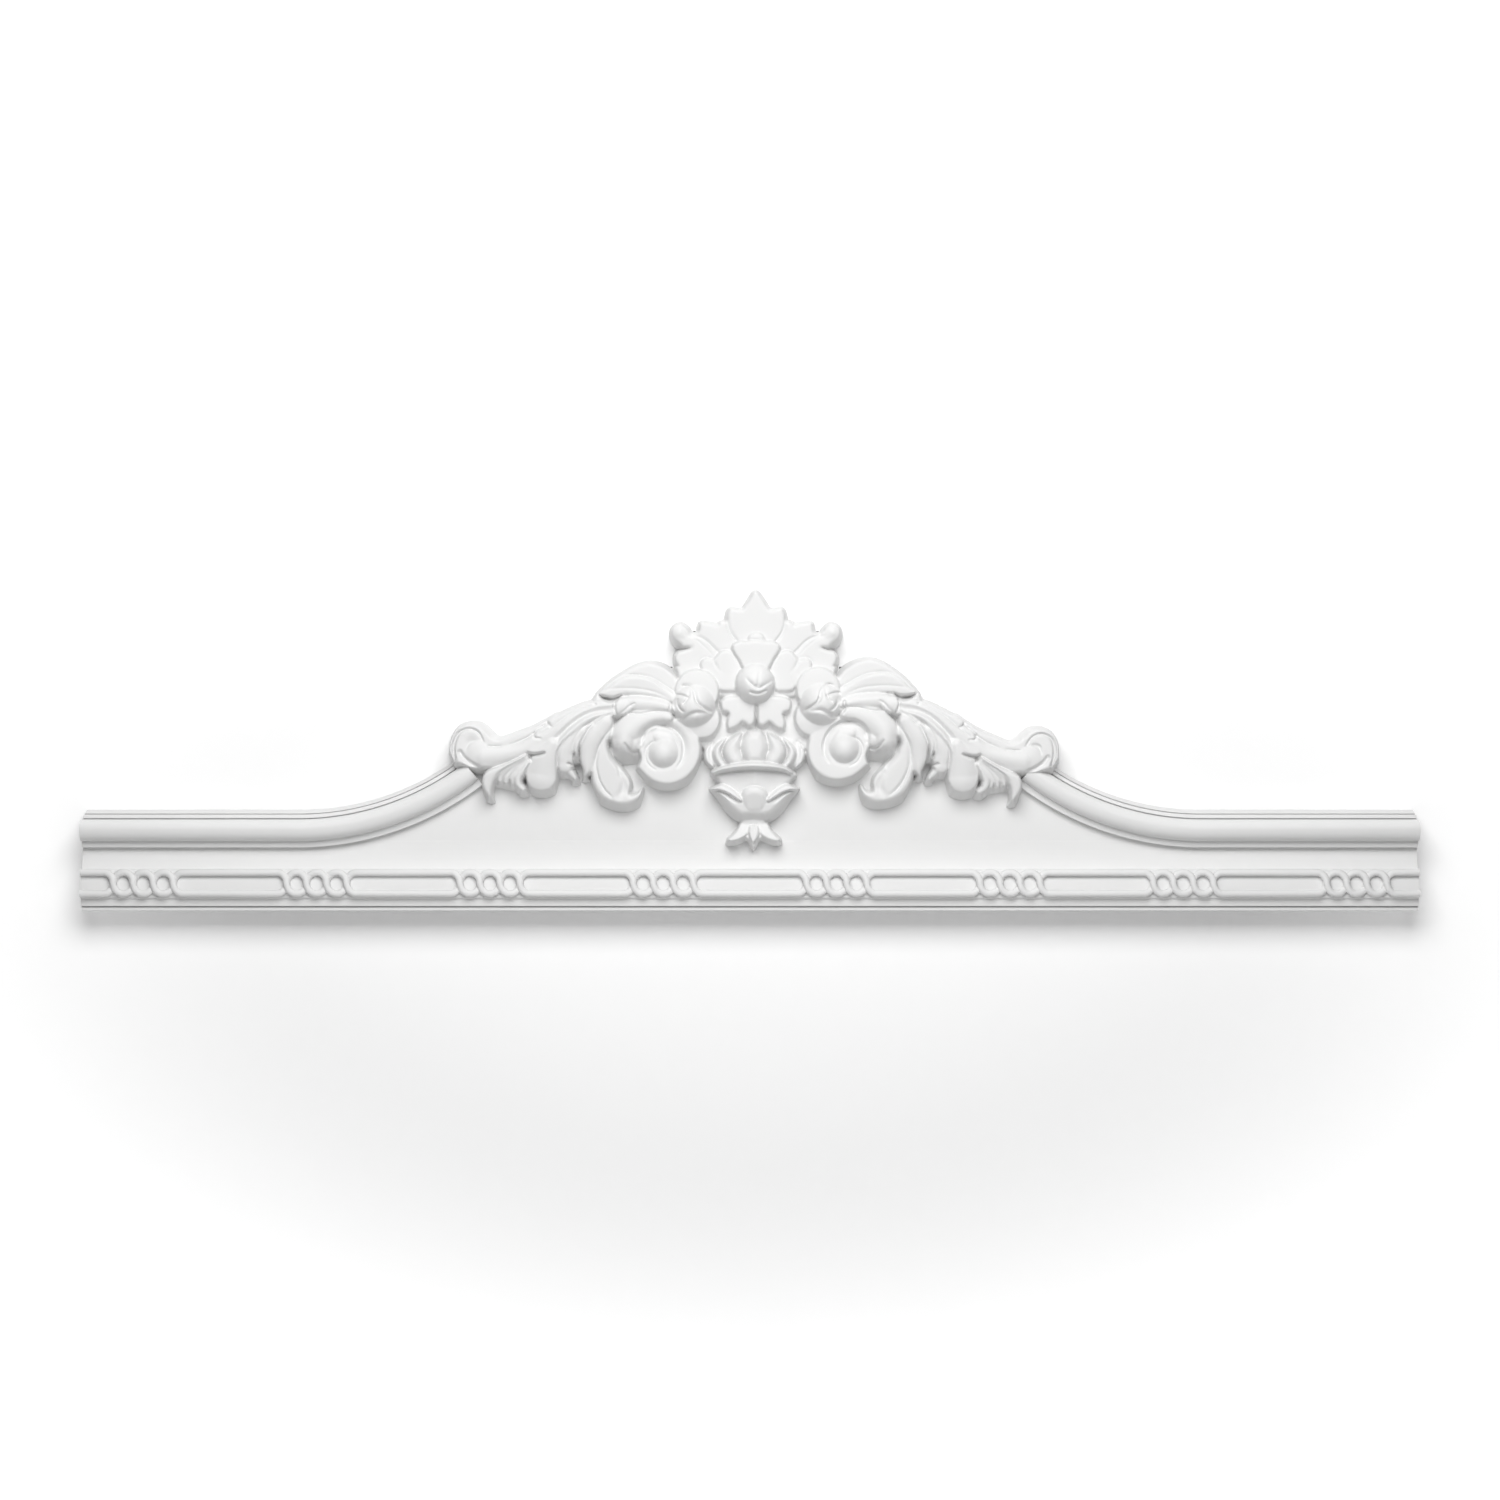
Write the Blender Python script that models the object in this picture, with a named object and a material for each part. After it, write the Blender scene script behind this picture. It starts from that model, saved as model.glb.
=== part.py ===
"""A door pediment cast in one piece of rigid foam: a long moulded board with a ring-and-bar band along its
foot, a crown moulding that sweeps up at both sides of the middle, and a carved crest of shell, flower,
roses, urn, scrolls and leaves over it.

Metres, +Z up, +X to the right seen from the front. The wall is the plane y = 0 and the front faces -Y.
The origin is on the flat back, on the centre line, at half the height of the straight wings.
"""

import math

import bmesh
import bpy
import numpy as np
from mathutils import Matrix, Vector

# The board
LENGTH = 1.3335
WING_HEIGHT = 0.1002
LIP_DEPTH = 0.0330
LIP_HEIGHT = 0.0032
QUIRK_DEPTH = 0.0305
QUIRK_HEIGHT = 0.0012
FACE_DEPTH = 0.0356
FACE_HEIGHT = 0.0072
BAND_FOOT_DEPTH = 0.0386
BAND_HEAD_DEPTH = 0.0358
BAND_HEIGHT = 0.0298
FASCIA_FOOT_DEPTH = 0.0300
FASCIA_DEPTH = 0.0250

# The crown moulding over the fascia, by distance up from its lower edge
CROWN_FOOT = 0.0630
CROWN_FILLET = 0.0065
CROWN_FILLET_DEPTH = 0.0327
TORUS_HEIGHT = 0.0217
TORUS_FOOT_DEPTH = 0.0360
TORUS_DEPTH = 0.0450
TORUS_HEAD_DEPTH = 0.0290
HEAD_FILLET = 0.0048
HEAD_DEPTH = 0.0150
EDGE_DEPTH = 0.0050
SWEEP_START = 0.4514
SWEEP_RADIUS = 0.3030
SWEEP_ANGLE = math.radians(37.5)
SWEEP_STEPS = 7

# The ring-and-bar band: two rails that cross in groups
RAIL_RADIUS = 0.0038
UPPER_RAIL = (0.0385, 0.0382)
LOWER_RAIL = (0.0410, 0.0174)
RING_PITCH = 0.0199
RINGS_IN_GROUP = 3
GROUPS = 8
GROUP_PITCH = 0.1725
GROUP_SHIFT = 0.0002
CROSSING_LIFT = 0.0015
CROSSING_DIP = 0.0022
ARC_STEPS = 2

# The carving is drawn on a sheet whose unit is near a millimetre
CARVING_WIDTH = 0.6060
SHEET_WIDTH = 610.0
CARVING_SHIFT = 0.0056
SHEET_LEVEL = 0.1602
BOLDNESS = 1.3
SHEET_FOOT = -108.0
SHEET_HEAD = 166.0
CARVING_GRID = 1.6
CARVING_TRIANGLES = 5200
SOFTNESS = 0.9
WALL_SLOPE = 4.0
STEEP_WALL = 9.0
EDGE_CUT = 2.2
EDGE_CUT_WIDTH = 2.6
GROUND = 6.0
BACKING_SLOPE = 12.0
KEPT_SHARE = 0.71

# The flat panel's corners behind the carving: (distance from the centre line, height above the underside)
TYMPANUM_SHOULDER = (0.250, 0.156)
TYMPANUM_HEAD = (0.120, 0.185)

UNIT = CARVING_WIDTH / SHEET_WIDTH
FASCIA_LEVEL = FASCIA_DEPTH / UNIT
UNDERSIDE = -WING_HEIGHT / 2
OVERRUN = 0.004
TRIM_SIZE = 1.0
FOAM_WHITE = (0.88, 0.88, 0.87, 1.0)


def clear_scene():
    for obj in list(bpy.data.objects):
        bpy.data.objects.remove(obj)


def new_object(name, bm, collection):
    """An object from a bmesh, with its faces pointing out."""
    bmesh.ops.recalc_face_normals(bm, faces=bm.faces)
    mesh = bpy.data.meshes.new(name)
    bm.to_mesh(mesh)
    bm.free()
    obj = bpy.data.objects.new(name, mesh)
    collection.objects.link(obj)
    return obj


def verts_of(geometry):
    return [item for item in geometry if isinstance(item, bmesh.types.BMVert)]


def faces_of(geometry):
    return [item for item in geometry if isinstance(item, bmesh.types.BMFace)]


def drawn_out(bm, faces):
    """Extrudes faces, and gives what is to be moved."""
    edges = list(dict.fromkeys(edge for face in faces for edge in face.edges))
    return bmesh.ops.extrude_face_region(bm, geom=faces + edges)["geom"]


def extruded(name, corners, along, collection):
    """A flat outline drawn out along one direction."""
    bm = bmesh.new()
    moved = drawn_out(bm, [bm.faces.new([bm.verts.new(corner) for corner in corners])])
    bmesh.ops.translate(bm, verts=verts_of(moved), vec=along)
    return new_object(name, bm, collection)


def board(collection):
    """The straight board: lip, quirk, face, sunk band and the sloping foot of the fascia."""
    heights = np.cumsum([0, LIP_HEIGHT, QUIRK_HEIGHT, FACE_HEIGHT])
    profile = [(0.0, 0.0)]
    for depth, low, high in zip((LIP_DEPTH, QUIRK_DEPTH, FACE_DEPTH), heights, heights[1:]):
        profile += [(depth, low), (depth, high)]
    band_head = heights[-1] + BAND_HEIGHT
    profile += [(BAND_FOOT_DEPTH, heights[-1]), (BAND_HEAD_DEPTH, band_head)]
    profile += [(FASCIA_FOOT_DEPTH, band_head), (FASCIA_DEPTH, CROWN_FOOT)]
    profile += [(FASCIA_DEPTH, CROWN_FOOT + CROWN_FILLET), (0.0, CROWN_FOOT + CROWN_FILLET)]
    reach = LENGTH / 2 + OVERRUN
    corners = [(-reach, -depth, UNDERSIDE + height) for depth, height in profile]
    return extruded("board", corners, (2 * reach, 0, 0), collection)


def crown_profile():
    """(depth, distance up) round the crown moulding, from its lower back corner."""
    torus_foot = CROWN_FILLET
    torus_head = torus_foot + TORUS_HEIGHT
    middle = torus_foot + TORUS_HEIGHT * 0.55
    points = [(0.0, 0.0), (CROWN_FILLET_DEPTH, 0.0), (CROWN_FILLET_DEPTH, torus_foot)]
    for i in range(4):
        turn = math.radians(90 * i / 3)
        points.append((
            TORUS_FOOT_DEPTH + (TORUS_DEPTH - TORUS_FOOT_DEPTH) * math.sin(turn),
            middle - (middle - torus_foot) * math.cos(turn),
        ))
    for i in range(1, 4):
        turn = math.radians(90 * i / 3)
        points.append((
            TORUS_HEAD_DEPTH + (TORUS_DEPTH - TORUS_HEAD_DEPTH) * math.cos(turn),
            middle + (torus_head - middle) * math.sin(turn),
        ))
    top = WING_HEIGHT - CROWN_FOOT
    points += [(FASCIA_DEPTH, torus_head), (FASCIA_DEPTH, torus_head + HEAD_FILLET)]
    points += [(HEAD_DEPTH, torus_head + HEAD_FILLET), (EDGE_DEPTH, top), (0.0, top)]
    return points


def crown(side, collection):
    """One crown moulding: straight from the end, then swept up on an arc until the carving hides it."""
    bm = bmesh.new()
    start = side * (LENGTH / 2 + OVERRUN)
    foot = UNDERSIDE + CROWN_FOOT
    corners = [bm.verts.new((start, -depth, foot + up)) for depth, up in crown_profile()]
    moved = drawn_out(bm, [bm.faces.new(corners)])
    bmesh.ops.translate(bm, verts=verts_of(moved), vec=(side * SWEEP_START - start, 0, 0))
    turn = Matrix.Rotation(side * SWEEP_ANGLE / SWEEP_STEPS, 3, "Y")
    for _ in range(SWEEP_STEPS):
        moved = drawn_out(bm, faces_of(moved))
        centre = (side * SWEEP_START, 0, foot + SWEEP_RADIUS)
        bmesh.ops.rotate(bm, verts=verts_of(moved), cent=centre, matrix=turn)
    return new_object(f"crown_{'right' if side > 0 else 'left'}", bm, collection)


def tympanum(collection):
    """The flat panel between the two sweeps and behind the carving."""
    radius = SWEEP_RADIUS - (WING_HEIGHT - CROWN_FOOT) / 2
    half = []
    for i in range(SWEEP_STEPS + 1):
        turn = SWEEP_ANGLE * i / SWEEP_STEPS
        across = SWEEP_START - radius * math.sin(turn)
        half.append((across, CROWN_FOOT + SWEEP_RADIUS - radius * math.cos(turn)))
    half += [TYMPANUM_SHOULDER, TYMPANUM_HEAD]
    outline = [(SWEEP_START, CROWN_FOOT - OVERRUN)] + half
    outline += [(-across, up) for across, up in reversed(half)] + [(-SWEEP_START, CROWN_FOOT - OVERRUN)]
    corners = [(across, 0, UNDERSIDE + up) for across, up in outline]
    return extruded("tympanum", corners, (0, -FASCIA_DEPTH, 0), collection)


def rail_route(starts_high):
    """Points of one rail along the band: it swaps between the upper and the lower line at every crossing."""
    radius = RING_PITCH / 2
    reach = LENGTH / 2 + OVERRUN / 2
    (depth, level), (next_depth, next_level) = (
        (UPPER_RAIL, LOWER_RAIL) if starts_high else (LOWER_RAIL, UPPER_RAIL)
    )
    route = [(-reach, -depth, UNDERSIDE + level)]
    for group in range(GROUPS):
        middle = (group - (GROUPS - 1) / 2) * GROUP_PITCH + GROUP_SHIFT
        for crossing in range(RINGS_IN_GROUP + 1):
            at = middle + (crossing - RINGS_IN_GROUP / 2) * RING_PITCH
            bump = CROSSING_LIFT if level > next_level else -CROSSING_DIP
            for i in range(2 * ARC_STEPS + 1):
                turn = math.pi / 2 * (i / ARC_STEPS - 1)
                passed = (1 + math.sin(turn)) / 2
                route.append((
                    at + math.copysign(radius * (1 - math.cos(turn)), turn),
                    -depth - (next_depth - depth) * passed - bump * math.cos(turn) ** 2,
                    UNDERSIDE + level + (next_level - level) * passed,
                ))
            depth, level, next_depth, next_level = next_depth, next_level, depth, level
    route.append((reach, -depth, UNDERSIDE + level))
    return route


def rail(name, starts_high, collection):
    """One round rail as a tube along its route, half sunk in the band."""
    curve = bpy.data.curves.new(name, "CURVE")
    curve.dimensions = "3D"
    curve.bevel_depth = RAIL_RADIUS
    curve.bevel_resolution = 2
    curve.use_fill_caps = True
    curve.twist_mode = "Z_UP"
    route = rail_route(starts_high)
    kept = [route[0]]
    for point in route[1:]:
        if (Vector(point) - Vector(kept[-1])).length > RAIL_RADIUS / 10:
            kept.append(point)
    spline = curve.splines.new("POLY")
    spline.points.add(len(kept) - 1)
    for point, place in zip(spline.points, kept):
        point.co = (*place, 1)
    tube = bpy.data.objects.new(name + "_curve", curve)
    collection.objects.link(tube)
    obj = as_mesh_object(name, tube, collection)
    bpy.data.objects.remove(tube)
    return obj


def as_mesh_object(name, source, collection):
    """A mesh object from what the source looks like with its modifiers or its bevel."""
    bpy.context.view_layer.update()
    graph = bpy.context.evaluated_depsgraph_get()
    bm = bmesh.new()
    bm.from_mesh(bpy.data.meshes.new_from_object(source.evaluated_get(graph)))
    bm.transform(source.matrix_world)
    bmesh.ops.remove_doubles(bm, verts=bm.verts, dist=0.000001)
    return new_object(name, bm, collection)


def smooth_line(rows, count=20):
    """A smooth line through a few rows of numbers: place, half width, height and the rest."""
    if len(rows) == 1:
        return rows
    padded = np.vstack([2 * rows[0] - rows[1], rows, 2 * rows[-1] - rows[-2]])
    steps = max(3, count // (len(rows) - 1))
    line = []
    for before, start, end, after in zip(padded, padded[1:], padded[2:], padded[3:]):
        for t in np.linspace(0, 1, steps, endpoint=False):
            bend = 2 * before - 5 * start + 4 * end - after
            twist = 3 * start - before - 3 * end + after
            line.append(0.5 * (2 * start + (end - before) * t + bend * t * t + twist * t ** 3))
    return np.array(line + [rows[-1]])


class Relief:
    """Heights over a grid, in sheet units out from the wall, worked up one carved form at a time."""

    def __init__(self, half_width, low, high, step):
        self.across = np.arange(-half_width, half_width + step / 2, step)
        self.up = np.arange(low, high + step / 2, step)
        self.heights = np.full((len(self.up), len(self.across)), -GROUND)
        self.step = step
        self.place = self.left

    def left(self, out, up):
        return -out, up

    def right(self, out, up):
        """The right wing leans a little outward at its top and hangs lower at its end."""
        return out - 3 + 0.13 * up, up + 4.5 - 0.05 * max(out - 90, 0)

    def right_rose(self, out, up):
        return out + 4, up + 2

    def centred(self, across, up):
        return across, up

    def line(self, points, *values):
        """The smooth line of a form, with one number or a few spread along it for each value."""
        along = np.linspace(0, 1, len(points))
        columns = [np.array([self.place(out, up) for out, up in points])]
        for value in values:
            given = np.atleast_1d(np.array(value, float))
            columns.append(np.interp(along, np.linspace(0, 1, len(given)), given))
        return smooth_line(np.column_stack(columns))

    def window(self, line, reach):
        """The part of the grid round a line."""
        low, high = line[:, :2].min(axis=0) - reach, line[:, :2].max(axis=0) + reach
        columns = slice(*np.searchsorted(self.across, (low[0], high[0])))
        rows = slice(*np.searchsorted(self.up, (low[1], high[1])))
        return (rows, columns), *np.meshgrid(self.across[columns], self.up[rows])

    def measure(self, line, reach):
        """Round a line: the grid window, the distance and side, how far up a point lies, its values."""
        window, x, z = self.window(line, reach)
        nearest = np.full(x.shape, np.inf)
        side, rise_to = np.ones(x.shape), np.zeros(x.shape)
        found = [np.zeros(x.shape) for _ in line[0, 2:]]
        for one, two in zip(line, line[1:] if len(line) > 1 else line):
            run, rise = two[:2] - one[:2]
            squared = max(run * run + rise * rise, 1e-9)
            t = np.clip(((x - one[0]) * run + (z - one[1]) * rise) / squared, 0, 1)
            up = z - one[1] - t * rise
            gap = np.hypot(x - one[0] - t * run, up)
            nearer = gap < nearest
            nearest = np.where(nearer, gap, nearest)
            rise_to = np.where(nearer, up, rise_to)
            turn = np.where((x - one[0]) * rise - (z - one[1]) * run >= 0, 1.0, -1.0)
            side = np.where(nearer, turn, side)
            for i, value in enumerate(found):
                found[i] = np.where(nearer, one[2 + i] + t * (two[2 + i] - one[2 + i]), value)
        return window, nearest, side, rise_to / np.maximum(nearest, 0.01), found

    def raise_to(self, window, height, beyond, upward, wall):
        """Lifts the grid to a form, with walls that are steep but for those that face down."""
        slope = wall + (STEEP_WALL - wall) * np.clip(upward / 0.8 + 1, 0, 1)
        height = height - np.maximum(beyond, 0) * slope
        height = np.where(height < FASCIA_LEVEL,
                          FASCIA_LEVEL + (height - FASCIA_LEVEL) * BACKING_SLOPE / slope, height)
        self.heights[window] = np.maximum(self.heights[window], height)

    def fold(self, points, half, top, crown=2.0, wall=WALL_SLOPE, power=2.0):
        """A rounded leaf, ball or band along a line."""
        line = self.line(points, half, top, crown)
        window, gap, _, upward, (width, level, swell) = self.measure(line, max(line[:, 2]) + 14)
        width = np.maximum(width, 0.3)
        level = FASCIA_LEVEL + (level - FASCIA_LEVEL) * BOLDNESS
        height = level + swell * BOLDNESS * (1 - np.clip(gap / width, 0, 1) ** power)
        self.raise_to(window, height, gap - width, upward, wall)

    def plate(self, points, top, roll=3.0, drop=2.0, wall=WALL_SLOPE, lean=(0, 0)):
        """A flat petal or leaf with an outline of its own, whose edge rolls back and whose face may lean."""
        line = self.line(list(points) + [points[0]])
        window, gap, _, upward, _ = self.measure(line, 14)
        x, z = self.window(line, 14)[1:]
        inside = np.zeros(x.shape, bool)
        for one, two in zip(line, line[1:]):
            crossed = (one[1] > z) != (two[1] > z)
            at = one[0] + (two[0] - one[0]) * (z - one[1]) / (two[1] - one[1] or 1e-9)
            inside ^= crossed & (x < at)
        middle = line[:, :2].mean(axis=0)
        level = FASCIA_LEVEL + (top - FASCIA_LEVEL) * BOLDNESS
        level = level + lean[0] * np.abs(x - middle[0]) + lean[1] * (z - middle[1])
        height = level - drop * BOLDNESS * (1 - np.clip(np.where(inside, gap, 0) / roll, 0, 1)) ** 2
        area = self.heights[window]
        area -= np.where((area > FASCIA_LEVEL) & (area < height), EDGE_CUT,
                         0) * np.clip(1 - gap / EDGE_CUT_WIDTH, 0, 1)
        self.raise_to(window, height, np.where(inside, 0, gap), upward, wall)

    def groove(self, points, half, deep, steep_side=0):
        """A soft cut along a line, steep on one side only where a side is given."""
        line = self.line(points, half, deep)
        window, gap, side, _, (width, cut) = self.measure(line, max(line[:, 2]) * 3 + 3)
        width = np.maximum(width, 0.3)
        shape = (1 - np.clip(gap / width, 0, 1) ** 2) ** 2
        if steep_side:
            gentle = (1 - np.clip(gap / (width * 3), 0, 1)) ** 2
            shape = np.where(side * steep_side > 0, shape, gentle)
        area = self.heights[window]
        area -= np.where(area > 0, cut * BOLDNESS, 0) * shape

    def blurred(self, radius):
        reach = int(np.ceil(radius * 3 / self.step))
        weights = np.exp(-0.5 * (np.arange(-reach, reach + 1) * self.step / radius) ** 2)
        weights /= weights.sum()
        heights = self.heights + GROUND
        for axis in (0, 1):
            heights = np.apply_along_axis(lambda row: np.convolve(row, weights, "same"), axis, heights)
        return heights - GROUND


def both_halves(points, shift=1):
    """A closed outline from its left half, given as (out, up) from the middle: the right half mirrors it."""
    left = [(-out, up) for out, up in points]
    return left + [(out + shift, up) for out, up in reversed(points)]


def shell(relief):
    """The ribbed shell at the top, behind the flower."""
    relief.place = relief.centred
    relief.plate(both_halves([(5.5, 151.5), (10.5, 144), (14.5, 140.5), (24.5, 142), (27.5, 138), (29, 130),
                              (31.5, 128.5), (35.5, 128), (38, 125), (42.5, 126.5), (53.5, 128),
                              (56, 125.5), (57, 119), (61.5, 116), (65.5, 117.5), (69.5, 123),
                              (74.5, 126.5), (78.5, 126), (82.5, 123), (84, 118), (82.5, 113), (78.5, 109),
                              (74.5, 106), (71.5, 103.5), (64.5, 102.5), (71.5, 100), (76.5, 99), (80, 95),
                              (80.5, 91), (79.5, 87), (77.5, 84), (79, 80), (65.5, 60),
                              (10.5, 50)]) + [(0, 159)], 40, 4, 1.6)
    for relief.place in (relief.left, lambda out, up: (out + 1, up)):
        relief.fold([(75.5, 117), (67.5, 110)], [5, 2], [40, 39], [1.6, 0.5])


def curl(relief):
    """The curl at the wing's end: a dished disc, and the rim that runs on as the leaf's upper edge."""
    relief.plate([(306.5, -2), (306, 6), (303.5, 14.5), (298.5, 21.5), (291.5, 25), (283.5, 26),
                  (276.5, 24), (270.5, 19), (264.5, 13), (258.5, 10.5), (251.5, 12), (240.5, 16),
                  (225.5, 21.5), (210.5, 29), (199.5, 34.5), (199.5, 20), (215.5, 5), (235.5, -7),
                  (255.5, -16), (270.5, -18), (281.5, -18), (291.5, -15), (300.5, -12)], 44, 3, 2, 3.2)
    relief.groove([(300.5, -10), (302, 0), (301, 8), (297, 16.5), (290.5, 20.5), (284.5, 21), (278.5, 18.5),
                   (274.5, 13), (271.5, 6), (265.5, 3.3), (256.5, 3.5), (246.5, 3), (233.5, 4), (224.5, 7)],
                  [2.4, 2.4, 2.4, 2.2, 2, 1.8, 1.6, 1.5, 1.5, 1.5, 1.3, 1.2, 1.2],
                  [5, 5, 4, 3.5, 3, 3, 2.5, 2, 2, 2, 2])
    relief.groove([(287.5, 3), (285.5, 8), (281.5, 9.5), (276.5, 8)], 3, [1.2, 2, 1.6, 0.6], 1)
    relief.fold([(277.5, -2), (269.5, -6), (259.5, -5)], [11, 10, 7], [44, 44.5, 44], [1.5, 1.5, 1])
    relief.groove([(295.5, -2), (291.5, -8), (285.5, -13), (277.5, -17)], 3.5, [3, 3.5, 3.5, 2])


def tip_leaves(relief):
    """The hooked leaf below the curl and the folds beside it, with the lid over them."""
    relief.plate([(228.5, -4), (240.5, -10), (252.5, -15), (263.5, -19), (270.5, -23), (273.5, -31),
                  (272.5, -38), (269.5, -43.5), (265, -47), (264, -40), (262.5, -34), (258.5, -27),
                  (251.5, -21), (241.5, -14.5), (231.5, -9)], 46.5, 4, 2.2, 2.2, (0.05, 0.25))
    for line, half, top in (
        ([(228.5, -7.5), (240.5, -15), (250.5, -22.5), (254.5, -29)], [1.5, 2.5, 3.2, 2.5], [46, 44, 42, 40]),
        ([(228.5, -9), (237.5, -18), (244, -26), (245, -31)], [1.5, 2.6, 3.2, 2.5], [45, 43, 41, 39]),
        ([(227.5, -10), (232.5, -20), (236, -27), (235.5, -32)], [1.5, 3, 4, 3], [45, 43, 41, 40]),
    ):
        relief.fold(line, half, top, 1.8, 2.8)
    relief.fold([(212.5, -2), (218.5, -16), (215.5, -26)], [8, 12.5, 13], [47.5, 46, 42.5], [3, 3, 3.5], 3.4)
    relief.groove([(227.5, -2.8), (222.5, -5), (215.5, -4), (210.5, -2.6)], [1.6, 2.2, 2.1, 1.4],
                  [4, 7, 7, 5])


def middle_leaves(relief):
    """The leaves between the tips and the drop, with the thin bright one that runs up between them."""
    relief.fold([(173.5, 19), (189.5, 2), (190.5, -14)], [7.5, 9, 8], [49, 46.5, 43.5], 2.2, 3)
    relief.fold([(189.5, -18), (184.5, -23), (180.5, -28)], [2.5, 3, 2], [42.5, 41, 39.5], 1.2, 2.6)
    relief.fold([(150.5, 28), (163.5, 12), (167.5, -5), (168, -18), (170.5, -25.5)], [8, 9.5, 8, 5.5, 1.5],
                [50, 49, 46, 43.5, 41], 2.4, 3)
    relief.fold([(162.5, 26.5), (171.5, 19.5), (178, 7), (179, -6)], [1, 2, 2.3, 1], [50, 49.5, 49, 47], 1,
                3)
    relief.groove([(187, -13.3), (181.5, -15), (176, -15.5)], [1.4, 2, 2.2], [4, 7, 8])


def drop_leaf(relief):
    """The long leaf that drops past the scroll, with its turned-up tip, its hollow and the drape over it."""
    relief.plate([(143.5, 28), (151.5, 10), (155.5, -7), (158.5, -20), (159.5, -30), (156.5, -40),
                  (150.5, -48), (142.5, -53.5), (133.5, -56), (125.5, -55), (118.5, -50.5), (115, -46),
                  (115.5, -42.5), (119.5, -41.5), (124.5, -43.5), (126.5, -40), (125, -34), (126.5, -28),
                  (133.5, -23), (142.5, -15), (147.5, -5), (148.5, 6), (142.5, 15)], 45, 3.5, 1.8, 2.4,
                 (0, 0.12))
    relief.groove([(133.5, -25), (132, -32), (133.5, -40), (136.5, -46)], 5, [2.5, 4, 3.5, 1])
    relief.groove([(147, 4), (144.5, -7), (138, -16), (135.5, -25)], 2.2, [1, 3, 3, 1], 1)
    relief.groove([(121.5, -45), (127.5, -48.5), (134.5, -47)], 3, [1.5, 2, 1])
    relief.fold([(93.5, 34), (113.5, 29), (128.5, 18), (131.5, 9)], [7, 12, 13.5, 12], [49, 48, 47, 46],
                [2, 4, 6, 7], 2.1)
    relief.fold([(119.5, 9)], 10, 45, [4], 1.8)


def cap_folds(relief):
    """The folds that rise behind the rose and turn over at the top."""
    relief.plate([(163, 49), (158.5, 56), (150.5, 64), (140.5, 72), (128.5, 79.5), (118.5, 84.5),
                  (107.5, 87), (97.5, 85.5), (88.5, 81), (79.5, 73), (73.5, 60), (73.5, 40), (95.5, 38),
                  (115.5, 36), (133.5, 38), (143.5, 44), (155.5, 46)], 44.5, 4, 2.2, 4)
    relief.plate([(156.5, 56), (148.5, 61), (138.5, 69), (127.5, 74), (115.5, 74), (103.5, 71), (91.5, 64),
                  (79.5, 55), (77.5, 44), (87.5, 47), (100.5, 51.5), (115.5, 53.5), (133.5, 53),
                  (143.5, 52), (150.5, 53)], 47.5, 4, 1.8, 3.2, (0, 0.1))
    relief.fold([(135.5, 46.5), (123.5, 47.5), (109.5, 46.5), (95.5, 45), (83.5, 41)],
                [4.5, 6.5, 6.5, 5.5, 4], [48, 49, 49.5, 49.5, 49.5], 2, 3)
    relief.fold([(123.5, 31), (105.5, 34), (87.5, 33)], [4, 5, 5], [48, 49, 49.5], 1.5)
    relief.groove([(156.5, 55), (150.5, 51.5), (144.5, 50), (139.5, 51), (134.5, 54.5)],
                  [1.5, 3, 3.8, 3, 1.5], [4, 9, 11, 9, 4])


def ridge(relief):
    """The wing's long ridge from the rose to the curl, with the creases along it."""
    relief.fold([(271.5, -6), (250.5, -4), (230.5, 1), (207.5, 15), (180.5, 30), (155.5, 40), (130.5, 44)],
                [9, 7.5, 7, 9, 9, 9, 8], [44.5, 44.5, 45, 46.5, 48, 49, 49.5], 2.4)
    relief.plate([(155.5, 49), (171.5, 45.5), (185.5, 40), (197.5, 34.5), (207, 29), (206.5, 25),
                  (214.5, 21.5), (220, 17), (221, 12.5), (217.5, 10), (224, 6), (227.5, 1), (227.5, -3),
                  (219.5, -4.2), (210.5, -2.5), (199.5, 5), (187.5, 15), (175.5, 23), (161.5, 30),
                  (147.5, 34), (139.5, 42), (143.5, 48)], 48, 3, 1.8, 4)
    relief.fold([(149.5, 37), (165.5, 32), (181.5, 21), (193.5, 8), (201.5, -7)], [2, 3, 3.5, 3.5, 2],
                [50.5, 51, 50.5, 49.5, 47], 1.5)
    for points, half, deep in (
        ([(142.5, 41), (161.5, 38), (177.5, 30), (190.5, 19), (204.5, 5)], 4.5, [1.5, 2.6, 2.8, 2.4, 1]),
        ([(155.5, 46.5), (172.5, 41), (187.5, 34), (202.5, 23.5), (215.5, 15)], 2, [0.6, 1.4, 1.5, 1.4, 0.6]),
        ([(184.5, 15), (194.5, 3), (201.5, -10), (204.5, -24)], 2.2, [0.8, 1.6, 1.8, 1]),
        ([(137.5, 23), (145.5, 5)], 4, 1.2),
    ):
        relief.groove(points, half, deep)


def wing(relief):
    """One side's acanthus leaf, from the curl at its end to the folds that come out behind the rose."""
    relief.fold([(255.5, -7), (225.5, -4), (195.5, 4), (155.5, 17), (115.5, 28), (90.5, 32)],
                [10, 16, 22, 31, 38], 37, 0)
    curl(relief)
    ridge(relief)
    tip_leaves(relief)
    middle_leaves(relief)
    drop_leaf(relief)
    cap_folds(relief)


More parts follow.
